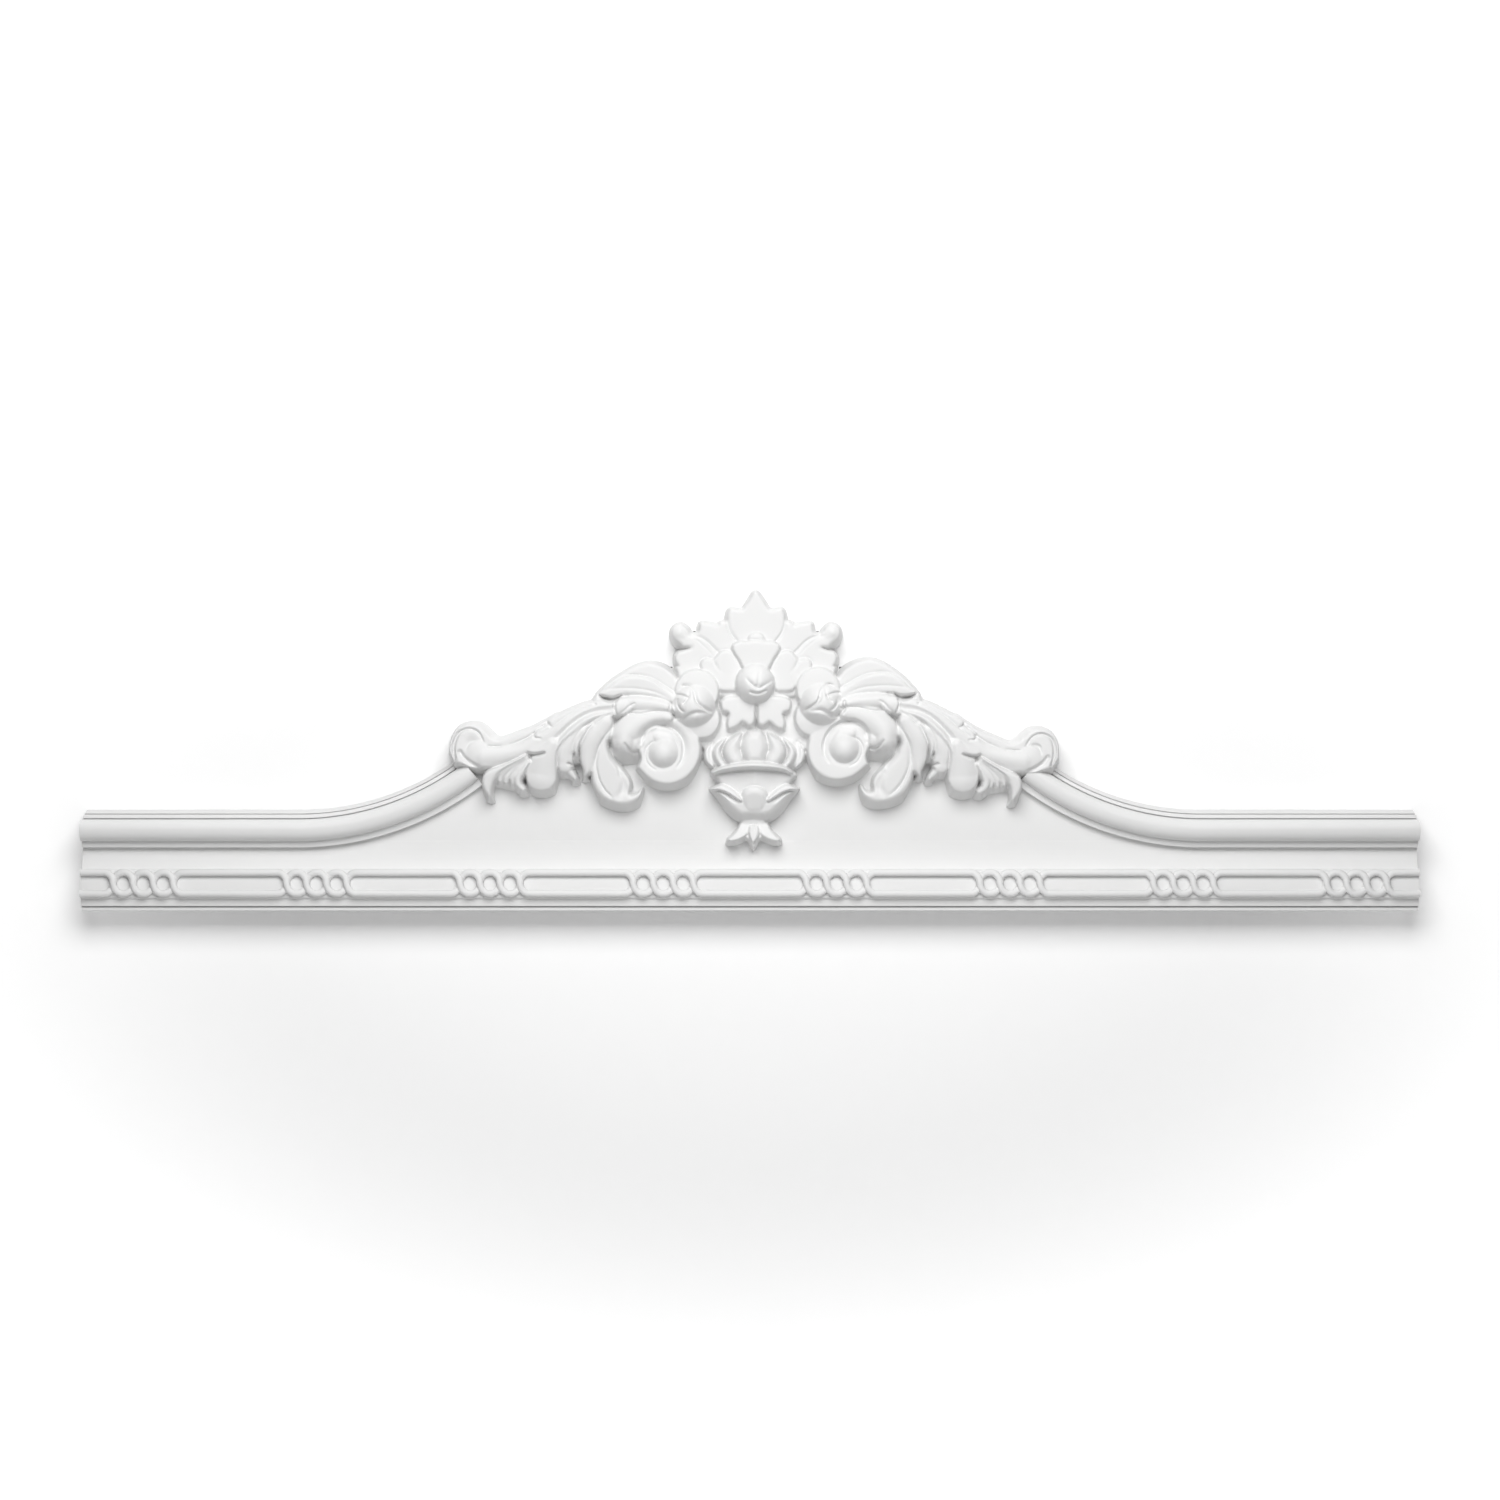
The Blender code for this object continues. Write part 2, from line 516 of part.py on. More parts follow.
def scroll(relief):
    """The flat scroll beside the urn, with the step round its eye and the ball in it."""
    relief.plate([(117.5, -17), (110.5, -24.5), (102.5, -30.5), (91.5, -34), (80.5, -33), (69.5, -27.5),
                  (61, -18.5), (56, -7), (55.5, 5), (58.5, 15), (65.5, 23), (75.5, 30), (89.5, 34),
                  (105.5, 33), (114.5, 22), (117.5, 5), (114.5, -8)], 45.5, 3, 1.2, 3.2)
    relief.groove([(114.5, 6), (112.5, 14.5), (106.5, 21.5), (97.5, 25), (87.5, 23.5), (79, 18.5), (73, 10),
                   (71.5, 0), (73.5, -10), (78.5, -17)], [1.8] + [2.6] * 7 + [2, 1],
                  [3] + [5] * 5 + [4.5, 4, 2.5, 1], 1)
    relief.groove([(92, -2.5)], 20.5, 3.2)
    relief.fold([(92, -2.5)], 17.6, 41, 12.5, 6, 2.3)
    relief.fold([(96.5, 13), (87.5, 10.5), (82.5, 5)], [5, 5, 3], [46, 46, 46], 1.5)


def urn(relief):
    """The half urn: gadrooned bowl, rim, cup, leaf calyx and tulip drop."""
    relief.place = relief.centred
    relief.plate(both_halves([(65.5, 60), (67.5, 30), (55.5, 8), (40.5, -2)], -1), 35, 3, 1, 4)
    relief.plate(both_halves([(33.5, 13), (43.5, 9), (50.5, 3), (53, -5), (50.5, -13), (42.5, -19),
                              (25.5, -21), (7.5, -22)], -2), 44, 7, 6, 5, (-0.22, 0))
    for relief.place in (relief.left, lambda out, up: (out - 2, up)):
        relief.plate([(43.5, 8), (49.5, 2.5), (51.7, -5), (49, -13), (41.5, -18), (44.5, -10), (45.7, -1)],
                     39, 4, 3, 8)
        relief.plate([(29.5, 12), (37.5, 6), (42.5, -1.5), (41, -10), (35.5, -17), (27.5, -17), (32, -10),
                      (34.5, -2), (33, 5)], 45, 5, 4, 8)
        relief.plate([(14.5, 17), (22.5, 13), (29.5, 6.5), (32.3, -1.5), (30, -9), (24.5, -15), (15.5, -15),
                      (12.7, -9), (15.5, 0), (14.5, 8)], 49.5, 7, 5, 8)
    relief.place = relief.centred
    relief.plate(both_halves([(6.5, 19), (11.5, 13.5), (14.3, 6.5), (14.1, -1), (11.7, -7.5), (7.5, -13)],
                             -2), 51.5, 9, 6.5, 8)
    relief.plate(both_halves([(10.5, -17), (25.5, -19), (37.5, -21.5), (43, -24.8), (39, -29), (36.5, -33),
                              (29.5, -40), (23.5, -50), (10.5, -56)], -2), 48, 9, 8, 5, (-0.12, 0.1))
    relief.place = relief.left
    relief.groove([(41.5, -25), (33.5, -21.8), (17.5, -19.2), (1.5, -18.2), (-14.5, -19), (-28.5, -21.5),
                   (-34.5, -25)], 2.2, [4, 5.5, 6, 6, 6, 5.5, 4], -1)
    relief.fold([(42.5, -22.5), (33.5, -19), (17.5, -16), (1, -15), (-15.5, -16), (-28.5, -18.5),
                 (-35.5, -22.5)], [1.2, 1.8, 2.2, 2.4, 2.2, 1.8, 1.2], [46, 50, 55, 57, 55, 50, 46], 1, 7)
    calyx(relief)
    tulip(relief)


def calyx(relief):
    """The cup's leaves, which curl out at both sides, and the rounded one between them."""
    relief.place = relief.centred
    relief.plate(both_halves([(7.5, -41), (19.5, -42), (31.5, -38), (43.5, -38.5), (45.7, -40.8),
                              (38, -49.5), (31, -61), (23.5, -68.5), (15.5, -72.8), (7.5, -73)], -2), 47,
                 13, 15, 13, (0, 0.2))
    for relief.place in (relief.left, lambda out, up: (out - 2, up)):
        relief.plate([(45, -39.3), (39.5, -36.6), (33.5, -34.5), (26.5, -37.5), (20.5, -42), (15.5, -47),
                      (14.5, -51), (21.5, -47), (28.5, -42.6), (36.5, -39.8), (42.5, -39.8)], 49, 2, 0.6,
                     13, (0, -0.4))
    relief.place = relief.left
    relief.fold([(1, -48), (1, -56), (1, -62)], [11.5, 12, 9], [46, 43, 38], [2, 5, 5], 5)
    relief.fold([(14.5, -48), (12.5, -41.5), (7.5, -37.5), (1, -36), (-5.5, -37.5), (-10.5, -41.5),
                 (-12.5, -48)], [1.2, 2.1, 2.5, 2.7, 2.5, 2.1, 1.2], [47, 52, 54.5, 55, 54.5, 52, 47], 0.8,
                6)


def tulip(relief):
    """The tulip at the foot, with a petal out to each side and one down."""
    relief.fold([(2, -74), (2, -80)], [12.5, 11], [35.5, 38], 2, 5)
    for relief.place in (relief.left, lambda out, up: (out - 3, up)):
        relief.plate([(15.5, -73), (18, -79), (22, -84), (27.5, -89.5), (24.5, -91), (17.5, -89.5),
                      (11.5, -86.5), (7.5, -83), (3.5, -78), (5.5, -73)], 40, 2, 0.8, 4.2, (0, -0.55))
    relief.place = relief.left
    relief.plate([(9.5, -82), (8, -89), (5.5, -95.5), (2, -100), (-1.5, -95.5), (-4, -89), (-5, -82),
                  (-1.5, -76), (5.5, -76)], 39, 4, 4.5, 6)
    relief.plate([(7, -82), (5.5, -88), (2.5, -93), (-0.5, -90), (-3.5, -83), (-1.5, -76), (5.5, -76)], 42,
                 2, 1, 8, (0, -0.15))


def flower(relief):
    """The five-petalled flower in the middle, with its round bud."""
    relief.place = relief.left
    relief.fold([(-0.8, 109)], 8.2, 42.5, 1.4)
    for relief.place in (relief.left, lambda out, up: (out + 1, up)):
        relief.plate([(13.5, 84), (19.5, 93.5), (24, 98), (30.5, 99.5), (35.5, 97.7), (39, 94),
                      (42.5, 90.7), (47.5, 91.4), (51.7, 91), (54.5, 88.5), (55.5, 84.5), (53.5, 80),
                      (47.5, 73), (39.5, 64), (35.5, 59.5), (27.5, 58.5), (18.5, 60), (13.5, 70)], 44.5, 3,
                     1.6, 3, (-0.1, 0))
        relief.groove([(42.5, 90), (39.5, 84), (33.5, 77)], 2.5, [1.2, 0.8, 0.2])
        relief.plate([(17.5, 54), (25.5, 53.5), (31, 52), (34.5, 48.5), (34.5, 44), (32.5, 39.5), (28, 38),
                      (26.5, 35), (28, 30.5), (28.5, 26), (27, 21.2), (22.5, 21.5), (17.5, 24.5),
                      (14.5, 27.2), (12.5, 28.5), (10.5, 27), (7, 24.7), (3.5, 25.2), (0.7, 29), (0, 38),
                      (0, 50), (7.5, 53)], 44.5, 3, 1.6, 3, (-0.08, 0))
    relief.place = relief.centred
    relief.plate(both_halves([(13.5, 83), (18, 91.5), (22, 97.5), (23.5, 101.5), (22.5, 105), (19, 107.4),
                              (14.5, 108.8), (8.5, 108.2), (2.5, 109.4)]) + [(0, 60)], 46.5, 3, 1.8, 3,
                 (0, 0))
    relief.place = relief.left
    relief.groove([(0.5, 66.5)], 23, 3)
    relief.fold([(0.5, 66.5)], 18.8, 48, 11, 4, 2.4)


def rose(relief):
    """A rose in bud between the flower and the wing."""
    fold, groove = relief.fold, relief.groove
    fold([(54, 31)], 18.5, 44.5, 2.5, 2.8)
    fold([(58.5, 58.5)], 21.5, 47, 1.5, 4)
    groove([(61.5, 44.5)], 25, 2.5)
    fold([(61.5, 44.5)], 22, 45, 15.5, 4, 2.3)
    groove([(84.5, 47), (84.5, 39), (79.5, 33.5), (75.5, 32)], [1.5, 2.4, 2.2, 1.2], 5)
    groove([(72.5, 31), (61.5, 37), (51.5, 37)], 2.5, [2, 1.5, 0.5], -1)


def carve():
    """All the carved forms, the ones behind first."""
    relief = Relief(SHEET_WIDTH / 2 + 6, SHEET_FOOT, SHEET_HEAD, CARVING_GRID)
    shell(relief)
    for relief.place in (relief.left, relief.right):
        wing(relief)
        scroll(relief)
    urn(relief)
    flower(relief)
    for relief.place in (relief.left, relief.right_rose):
        rose(relief)
    relief.heights = relief.blurred(SOFTNESS)
    return relief


def carving(collection):
    """The carved crest as a solid: a grid raised to the relief, closed behind the wall plane and thinned."""
    relief = carve()
    rows, columns = relief.heights.shape
    bm = bmesh.new()
    bmesh.ops.create_grid(bm, x_segments=columns - 1, y_segments=rows - 1, size=1)
    across, up = np.meshgrid(relief.across, relief.up)
    level = UNDERSIDE + SHEET_LEVEL
    for vert, x, z, height in zip(bm.verts, across.flat, up.flat, relief.heights.flat):
        vert.co = (CARVING_SHIFT + x * UNIT, -height * UNIT, level + z * UNIT)
    back = drawn_out(bm, list(bm.faces))
    for vert in verts_of(back):
        vert.co.y = OVERRUN + OVERRUN
    bmesh.ops.triangulate(bm, faces=bm.faces)
    slab = new_object("carved_slab", bm, collection)
    thin = slab.modifiers.new("thin", "DECIMATE")
    thin.ratio = CARVING_TRIANGLES / len(slab.data.polygons)
    thinned = as_mesh_object("carving", slab, collection)
    bpy.data.objects.remove(slab)
    return thinned


def trim_block(collection):
    """The block that the finished piece is trimmed to, so that its back is flat and its ends are square."""
    bm = bmesh.new()
    size = Matrix.Diagonal((LENGTH, TRIM_SIZE, TRIM_SIZE, 1.0))
    bmesh.ops.create_cube(bm, size=1, matrix=Matrix.Translation((0, -TRIM_SIZE / 2, 0)) @ size)
    return new_object("trim_block", bm, collection)


def foam_material():
    material = bpy.data.materials.new("primed_foam")
    material.use_nodes = True
    shader = material.node_tree.nodes["Principled BSDF"]
    shader.inputs["Base Color"].default_value = FOAM_WHITE
    shader.inputs["Roughness"].default_value = 0.62
    shader.inputs["Metallic"].default_value = 0.0
    return material


def main():
    clear_scene()
    parts = bpy.data.collections.new("door_pediment")
    helpers = bpy.data.collections.new("cutters")
    for collection in (parts, helpers):
        bpy.context.scene.collection.children.link(collection)

    pediment = board(parts)
    pediment.name = "pediment"
    pediment.data.name = "pediment"
    pediment.data.materials.append(foam_material())
    joined = [
        tympanum(helpers),
        crown(-1, helpers),
        crown(1, helpers),
        rail("rail_one", True, helpers),
        rail("rail_two", False, helpers),
        carving(helpers),
    ]
    steps = [(obj, "UNION") for obj in joined] + [(trim_block(helpers), "INTERSECT")]
    for obj, operation in steps:
        obj.hide_render = True
        obj.display_type = "WIRE"
        join = pediment.modifiers.new(obj.name, "BOOLEAN")
        join.operation = operation
        join.solver = "MANIFOLD"
        join.object = obj
    lighten = pediment.modifiers.new("lighten", "DECIMATE")
    lighten.ratio = KEPT_SHARE
    pediment.data.set_sharp_from_angle(angle=math.radians(35))


main()
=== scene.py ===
"""A white primed door pediment on a pale wall: its moulded board, ring-and-bar band and carved crest.

The frame is in metres. The wall is the plane y = 0, the front faces -Y and +X is to the right seen from the
front. Profiles are in millimetres, and the carving's forms in units of its own sheet.
"""

import math

import bmesh
import bpy
import numpy as np
from mathutils import Matrix, Vector
from mathutils.bvhtree import BVHTree


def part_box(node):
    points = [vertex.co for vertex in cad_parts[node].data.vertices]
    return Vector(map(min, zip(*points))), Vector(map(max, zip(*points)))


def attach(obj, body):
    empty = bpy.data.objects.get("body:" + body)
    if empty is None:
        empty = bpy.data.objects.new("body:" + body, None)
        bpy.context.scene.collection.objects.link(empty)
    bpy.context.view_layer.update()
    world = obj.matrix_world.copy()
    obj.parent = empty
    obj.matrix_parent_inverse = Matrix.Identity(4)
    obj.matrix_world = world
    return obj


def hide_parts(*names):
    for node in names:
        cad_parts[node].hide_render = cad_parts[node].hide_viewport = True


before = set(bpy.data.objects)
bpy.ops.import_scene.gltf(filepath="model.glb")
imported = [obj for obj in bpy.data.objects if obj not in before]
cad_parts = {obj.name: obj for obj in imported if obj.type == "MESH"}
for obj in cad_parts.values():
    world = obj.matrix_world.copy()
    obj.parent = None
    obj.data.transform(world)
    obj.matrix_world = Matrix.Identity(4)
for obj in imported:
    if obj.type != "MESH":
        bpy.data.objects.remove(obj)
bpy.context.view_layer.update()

LOW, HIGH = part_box("pediment")
LENGTH = HIGH.x - LOW.x
UNDERSIDE = LOW.z
MM = 0.001
OVERRUN = 4 * MM
BACK_INSET = 0.5 * MM
TRIM_SIZE = 1.0

# The board, in millimetres: (depth from the wall, height above the underside)
BOARD = ((0, 0), (33, 0), (33, 3.2), (30.6, 3.4), (30.6, 4.4), (35.6, 4.6), (35.6, 11.6), (38.6, 13.2),
         (38.6, 16), (35.8, 41.4), (30, 41.4), (28.6, 45.5), (27.3, 50), (26.3, 55), (25.6, 60), (25.2, 65),
         (25, 69.5), (0, 69.5))
CROWN_FOOT = 63.0
FASCIA = 25.0
WING_HEIGHT = 100.2
EDGE_ROUND = 0.6

# The sweep of the crown moulding at both sides of the middle
SWEEP_START = 451.4
SWEEP_RADIUS = 303.0
SWEEP_ANGLE = math.radians(37.5)
SWEEP_STEPS = 40
TYMPANUM = ((250.0, 156.0), (120.0, 185.0))

# The crown moulding's profile: depths from the wall and heights above its own foot
CROWN_FILLET = ((2, 0), (32, 0), (32, 6.3), (34.6, 6.6))
TORUS_LEVEL = 18.4
TORUS_LOWER = (35, 10, 11.7)
TORUS_UPPER = (29, 16, 9.4)
TORUS_STEPS = 12
CROWN_HEAD = ((24, 27.9), (22.5, 28.7), (26, 28.9), (25.5, 32.2), (17, 32.4), (15, 33.2), (17.5, 33.4),
              (7, 37.2), (2, 37.2))
CROWN_ROUND = 0.4

# The ring-and-bar band
RAIL_RADIUS = 3.6
UPPER_RAIL = (38.5, 38.2)
LOWER_RAIL = (41.2, 17.2)
RING_PITCH = 19.9
RINGS_IN_GROUP = 3
GROUPS = 8
GROUP_PITCH = 172.5
GROUP_SHIFT = 0.2
CROSSING_LIFT = 1.5
CROSSING_DIP = 2.2
ARC_STEPS = 8
RAIL_END_GAP = 0.1

# The carving's sheet, whose unit is near a millimetre
SHEET_UNIT = 0.606 / 610
SHEET_REACH = 312.0
SHEET_FOOT = -108.0
SHEET_HEAD = 166.0
CARVING_SHIFT = 5.6 * MM
SHEET_LEVEL = 160.2 * MM
BOLDNESS = 1.3
GRID_STEP = 0.7
SOFTNESS = 0.75
WALL_SLOPE = 4.0
STEEP_WALL = 13.0
EDGE_CUT = 2.2
EDGE_CUT_WIDTH = 2.4
LEAST_WIDTH = 0.3
WALL_REACH_OUT = 14
TURN_TO_STEEP = 0.8
BACKING_SLOPE = 12.0
GROUND = 6.0
GROUND_KEPT = 4 * MM
SLAB_BACK = 9 * MM
CREST_TRIANGLES = 190000
CREST_SHARP = 60

# The photograph's camera
CAMERA_DISTANCE = 3.2
CAMERA_LENS = 76.2
CAMERA_LEVEL = UNDERSIDE + SHEET_LEVEL
CAMERA_SHIFT = 0.00015

# The stage
WALL_REACH = 4.0
WALL_GAP = 0.6 * MM
OPENING_FIELD = (1.46, 0.40)
OPENING_LEVEL = 0.11
OPENING_CELL = 4 * MM
OPENING_INSET = 4 * MM
GRID_RIM = 0.4999
PROBE_START = 0.05
PROBE_REACH = 0.06
FLOOR_LEVEL = -0.95
# The wall's painted glow: emission that is weak next to the piece and strong away from it, painted light and
# shade on the wall
PAINTED_GLOW_STRETCH = (0.62, 1, 1)
PAINTED_GLOW_RANGE = {"From Min": 0.28, "From Max": 0.72, "To Min": 0.05, "To Max": 0.55}


def new_object(name, bm, smooth_angle=35):
    """A mesh object from a bmesh, facing out and smooth up to an angle between its faces."""
    bmesh.ops.recalc_face_normals(bm, faces=bm.faces)
    mesh = bpy.data.meshes.new(name)
    bm.to_mesh(mesh)
    bm.free()
    mesh.shade_smooth()
    mesh.set_sharp_from_angle(angle=math.radians(smooth_angle))
    obj = bpy.data.objects.new(name, mesh)
    bpy.context.scene.collection.objects.link(obj)
    return obj


def verts_of(geometry):
    return [item for item in geometry if isinstance(item, bmesh.types.BMVert)]


def faces_of(geometry):
    return [item for item in geometry if isinstance(item, bmesh.types.BMFace)]


def drawn_out(bm, faces):
    """Extrudes faces, and gives what is to be moved."""
    edges = list(dict.fromkeys(edge for face in faces for edge in face.edges))
    return bmesh.ops.extrude_face_region(bm, geom=faces + edges)["geom"]


def rounded(corners, radius, steps=3):
    """The outline with each of its corners turned into a short arc."""
    points = [Vector(corner) for corner in corners]
    outline = []
    for before, corner, after in zip(points[-1:] + points[:-1], points, points[1:] + points[:1]):
        reach = min(radius, (before - corner).length * 0.4, (after - corner).length * 0.4)
        start = corner + (before - corner).normalized() * reach
        end = corner + (after - corner).normalized() * reach
        for i in range(steps + 1):
            t = i / steps
            outline.append(tuple(start * (1 - t) ** 2 + corner * 2 * t * (1 - t) + end * t ** 2))
    return outline


def front_point(across, depth, up):
    """Millimetres out from the middle, from the wall and above the underside, as a place in the frame."""
    return Vector((across * MM, -depth * MM, UNDERSIDE + up * MM))


def settled(obj, name, smooth_angle=35):
    """The object with its modifiers made real, as a new object; the old one goes."""
    bpy.context.view_layer.update()
    graph = bpy.context.evaluated_depsgraph_get()
    bm = bmesh.new()
    bm.from_mesh(bpy.data.meshes.new_from_object(obj.evaluated_get(graph)))
    bm.transform(obj.matrix_world)
    bmesh.ops.remove_doubles(bm, verts=bm.verts, dist=0.000001)
    bpy.data.objects.remove(obj)
    return new_object(name, bm, smooth_angle)


def joined(obj, other, operation, name, smooth_angle=35):
    """One body from two, by a Boolean."""
    step = obj.modifiers.new(name, "BOOLEAN")
    step.operation = operation
    step.solver = "MANIFOLD"
    step.object = other
    result = settled(obj, name, smooth_angle)
    bpy.data.objects.remove(other)
    return result


def on_root(obj, material):
    """Finishes a piece: its material, the body it rides on and the solid it stands for."""
    obj.data.materials.clear()
    obj.data.materials.append(material)
    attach(obj, "root")
    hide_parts("pediment")


# Board, crown mouldings and band

def board():
    """The straight board from end to end."""
    bm = bmesh.new()
    reach = LENGTH / 2 / MM + OVERRUN / MM
    outline = rounded(BOARD, EDGE_ROUND)
    face = bm.faces.new([bm.verts.new(front_point(-reach, depth, up)) for depth, up in outline])
    moved = drawn_out(bm, [face])
    bmesh.ops.translate(bm, verts=verts_of(moved), vec=(2 * reach * MM, 0, 0))
    return new_object("board", bm)


def crown_outline():
    """(depth, distance up) round the crown moulding: fillet, torus, head fillet and the sloping top edge."""
    points = list(CROWN_FILLET)
    turns = [math.pi / 2 * i / TORUS_STEPS for i in range(TORUS_STEPS)]
    depth, swell, fall = TORUS_LOWER
    points += [(depth + swell * math.sin(turn), TORUS_LEVEL - fall * math.cos(turn)) for turn in turns[1:]]
    depth, swell, rise = TORUS_UPPER
    points += [(depth + swell * math.cos(turn), TORUS_LEVEL + rise * math.sin(turn)) for turn in turns]
    return rounded(points + list(CROWN_HEAD), CROWN_ROUND, 2)


def crown(side):
    """One crown moulding: straight from the end, then swept up until the carving hides it."""
    bm = bmesh.new()
    start = side * (LENGTH / 2 / MM + OVERRUN / MM)
    corners = [bm.verts.new(front_point(start, depth, CROWN_FOOT + up)) for depth, up in crown_outline()]
    moved = drawn_out(bm, [bm.faces.new(corners)])
    bmesh.ops.translate(bm, verts=verts_of(moved), vec=((side * SWEEP_START - start) * MM, 0, 0))
    turn = Matrix.Rotation(side * SWEEP_ANGLE / SWEEP_STEPS, 3, "Y")
    centre = front_point(side * SWEEP_START, 0, CROWN_FOOT + SWEEP_RADIUS)
    for _ in range(SWEEP_STEPS):
        moved = drawn_out(bm, faces_of(moved))
        bmesh.ops.rotate(bm, verts=verts_of(moved), cent=centre, matrix=turn)
    return new_object("crown", bm)


def tympanum():
    """The flat panel between the two sweeps, behind the carving."""
    radius = SWEEP_RADIUS - (WING_HEIGHT - CROWN_FOOT) / 2
    half = []
    for i in range(SWEEP_STEPS + 1):
        turn = SWEEP_ANGLE * i / SWEEP_STEPS
        across = SWEEP_START - radius * math.sin(turn)
        half.append((across, CROWN_FOOT + SWEEP_RADIUS - radius * math.cos(turn)))
    half = [(SWEEP_START, CROWN_FOOT)] + half + list(TYMPANUM)
    outline = half + [(-across, up) for across, up in reversed(half)]
    bm = bmesh.new()
    face = bm.faces.new([bm.verts.new(front_point(across, 0, up)) for across, up in outline])
    moved = drawn_out(bm, [face])
    bmesh.ops.translate(bm, verts=verts_of(moved), vec=(0, -FASCIA * MM, 0))
    return new_object("tympanum", bm)


def moulded_board():
    """Board, panel and crown mouldings as one body with square ends."""
    body = board()
    for number, other in enumerate((tympanum(), crown(-1), crown(1))):
        body = joined(body, other, "UNION", f"join_{number}")
    bm = bmesh.new()
    size = Matrix.Diagonal((LENGTH, TRIM_SIZE, TRIM_SIZE, 1))
    bmesh.ops.create_cube(bm, size=1, matrix=Matrix.Translation((0, -TRIM_SIZE / 2, 0)) @ size)
    return joined(body, new_object("ends", bm), "INTERSECT", "moulded_board")


def rail_route(starts_high):
    """One rail's points along the band: it changes between the upper and the lower line at each crossing."""
    radius = RING_PITCH / 2
    lines = {True: UPPER_RAIL, False: LOWER_RAIL}
    high = starts_high
    reach = LENGTH / 2 / MM - RAIL_END_GAP
    route = [(-reach, *lines[high])]
    for group in range(GROUPS):
        middle = (group - (GROUPS - 1) / 2) * GROUP_PITCH + GROUP_SHIFT
        for crossing in range(RINGS_IN_GROUP + 1):
            at = middle + (crossing - RINGS_IN_GROUP / 2) * RING_PITCH
            (depth, level), (next_depth, next_level) = lines[high], lines[not high]
            bump = CROSSING_LIFT if high else -CROSSING_DIP
            for i in range(1, 2 * ARC_STEPS):
                turn = math.pi / 2 * (i / ARC_STEPS - 1)
                across = at + math.copysign(radius * (1 - math.cos(turn)), turn)
                fall = (1 + math.sin(turn)) / 2
                route.append((across, depth + (next_depth - depth) * fall + bump * math.cos(turn) ** 2,
                              level + (next_level - level) * fall))
            high = not high
    route.append((reach, *lines[high]))
    return [front_point(*point) for point in route]


def rail(name, starts_high):
    """One round rail of the band, along its route."""
    curve = bpy.data.curves.new(name, "CURVE")
    curve.dimensions = "3D"
    curve.bevel_depth = RAIL_RADIUS * MM
    curve.bevel_resolution = 5
    curve.use_fill_caps = True
    curve.twist_mode = "Z_UP"
    route = rail_route(starts_high)
    spline = curve.splines.new("POLY")
    spline.points.add(len(route) - 1)
    for point, place in zip(spline.points, route):
        point.co = (*place, 1)
    tube = bpy.data.objects.new(name + "_line", curve)
    bpy.context.scene.collection.objects.link(tube)
    return settled(tube, name)


# The carving's relief

def smooth_line(rows, count=28):
    """A smooth line through a few rows of numbers: place, half width, height and the rest."""
    if len(rows) == 1:
        return rows
    padded = np.vstack([2 * rows[0] - rows[1], rows, 2 * rows[-1] - rows[-2]])
    steps = max(4, count // (len(rows) - 1))
    line = []
    for before, start, end, after in zip(padded, padded[1:], padded[2:], padded[3:]):
        for t in np.linspace(0, 1, steps, endpoint=False):
            bend = 2 * before - 5 * start + 4 * end - after
            twist = 3 * start - before - 3 * end + after
            line.append(0.5 * (2 * start + (end - before) * t + bend * t * t + twist * t ** 3))
    return np.array(line + [rows[-1]])


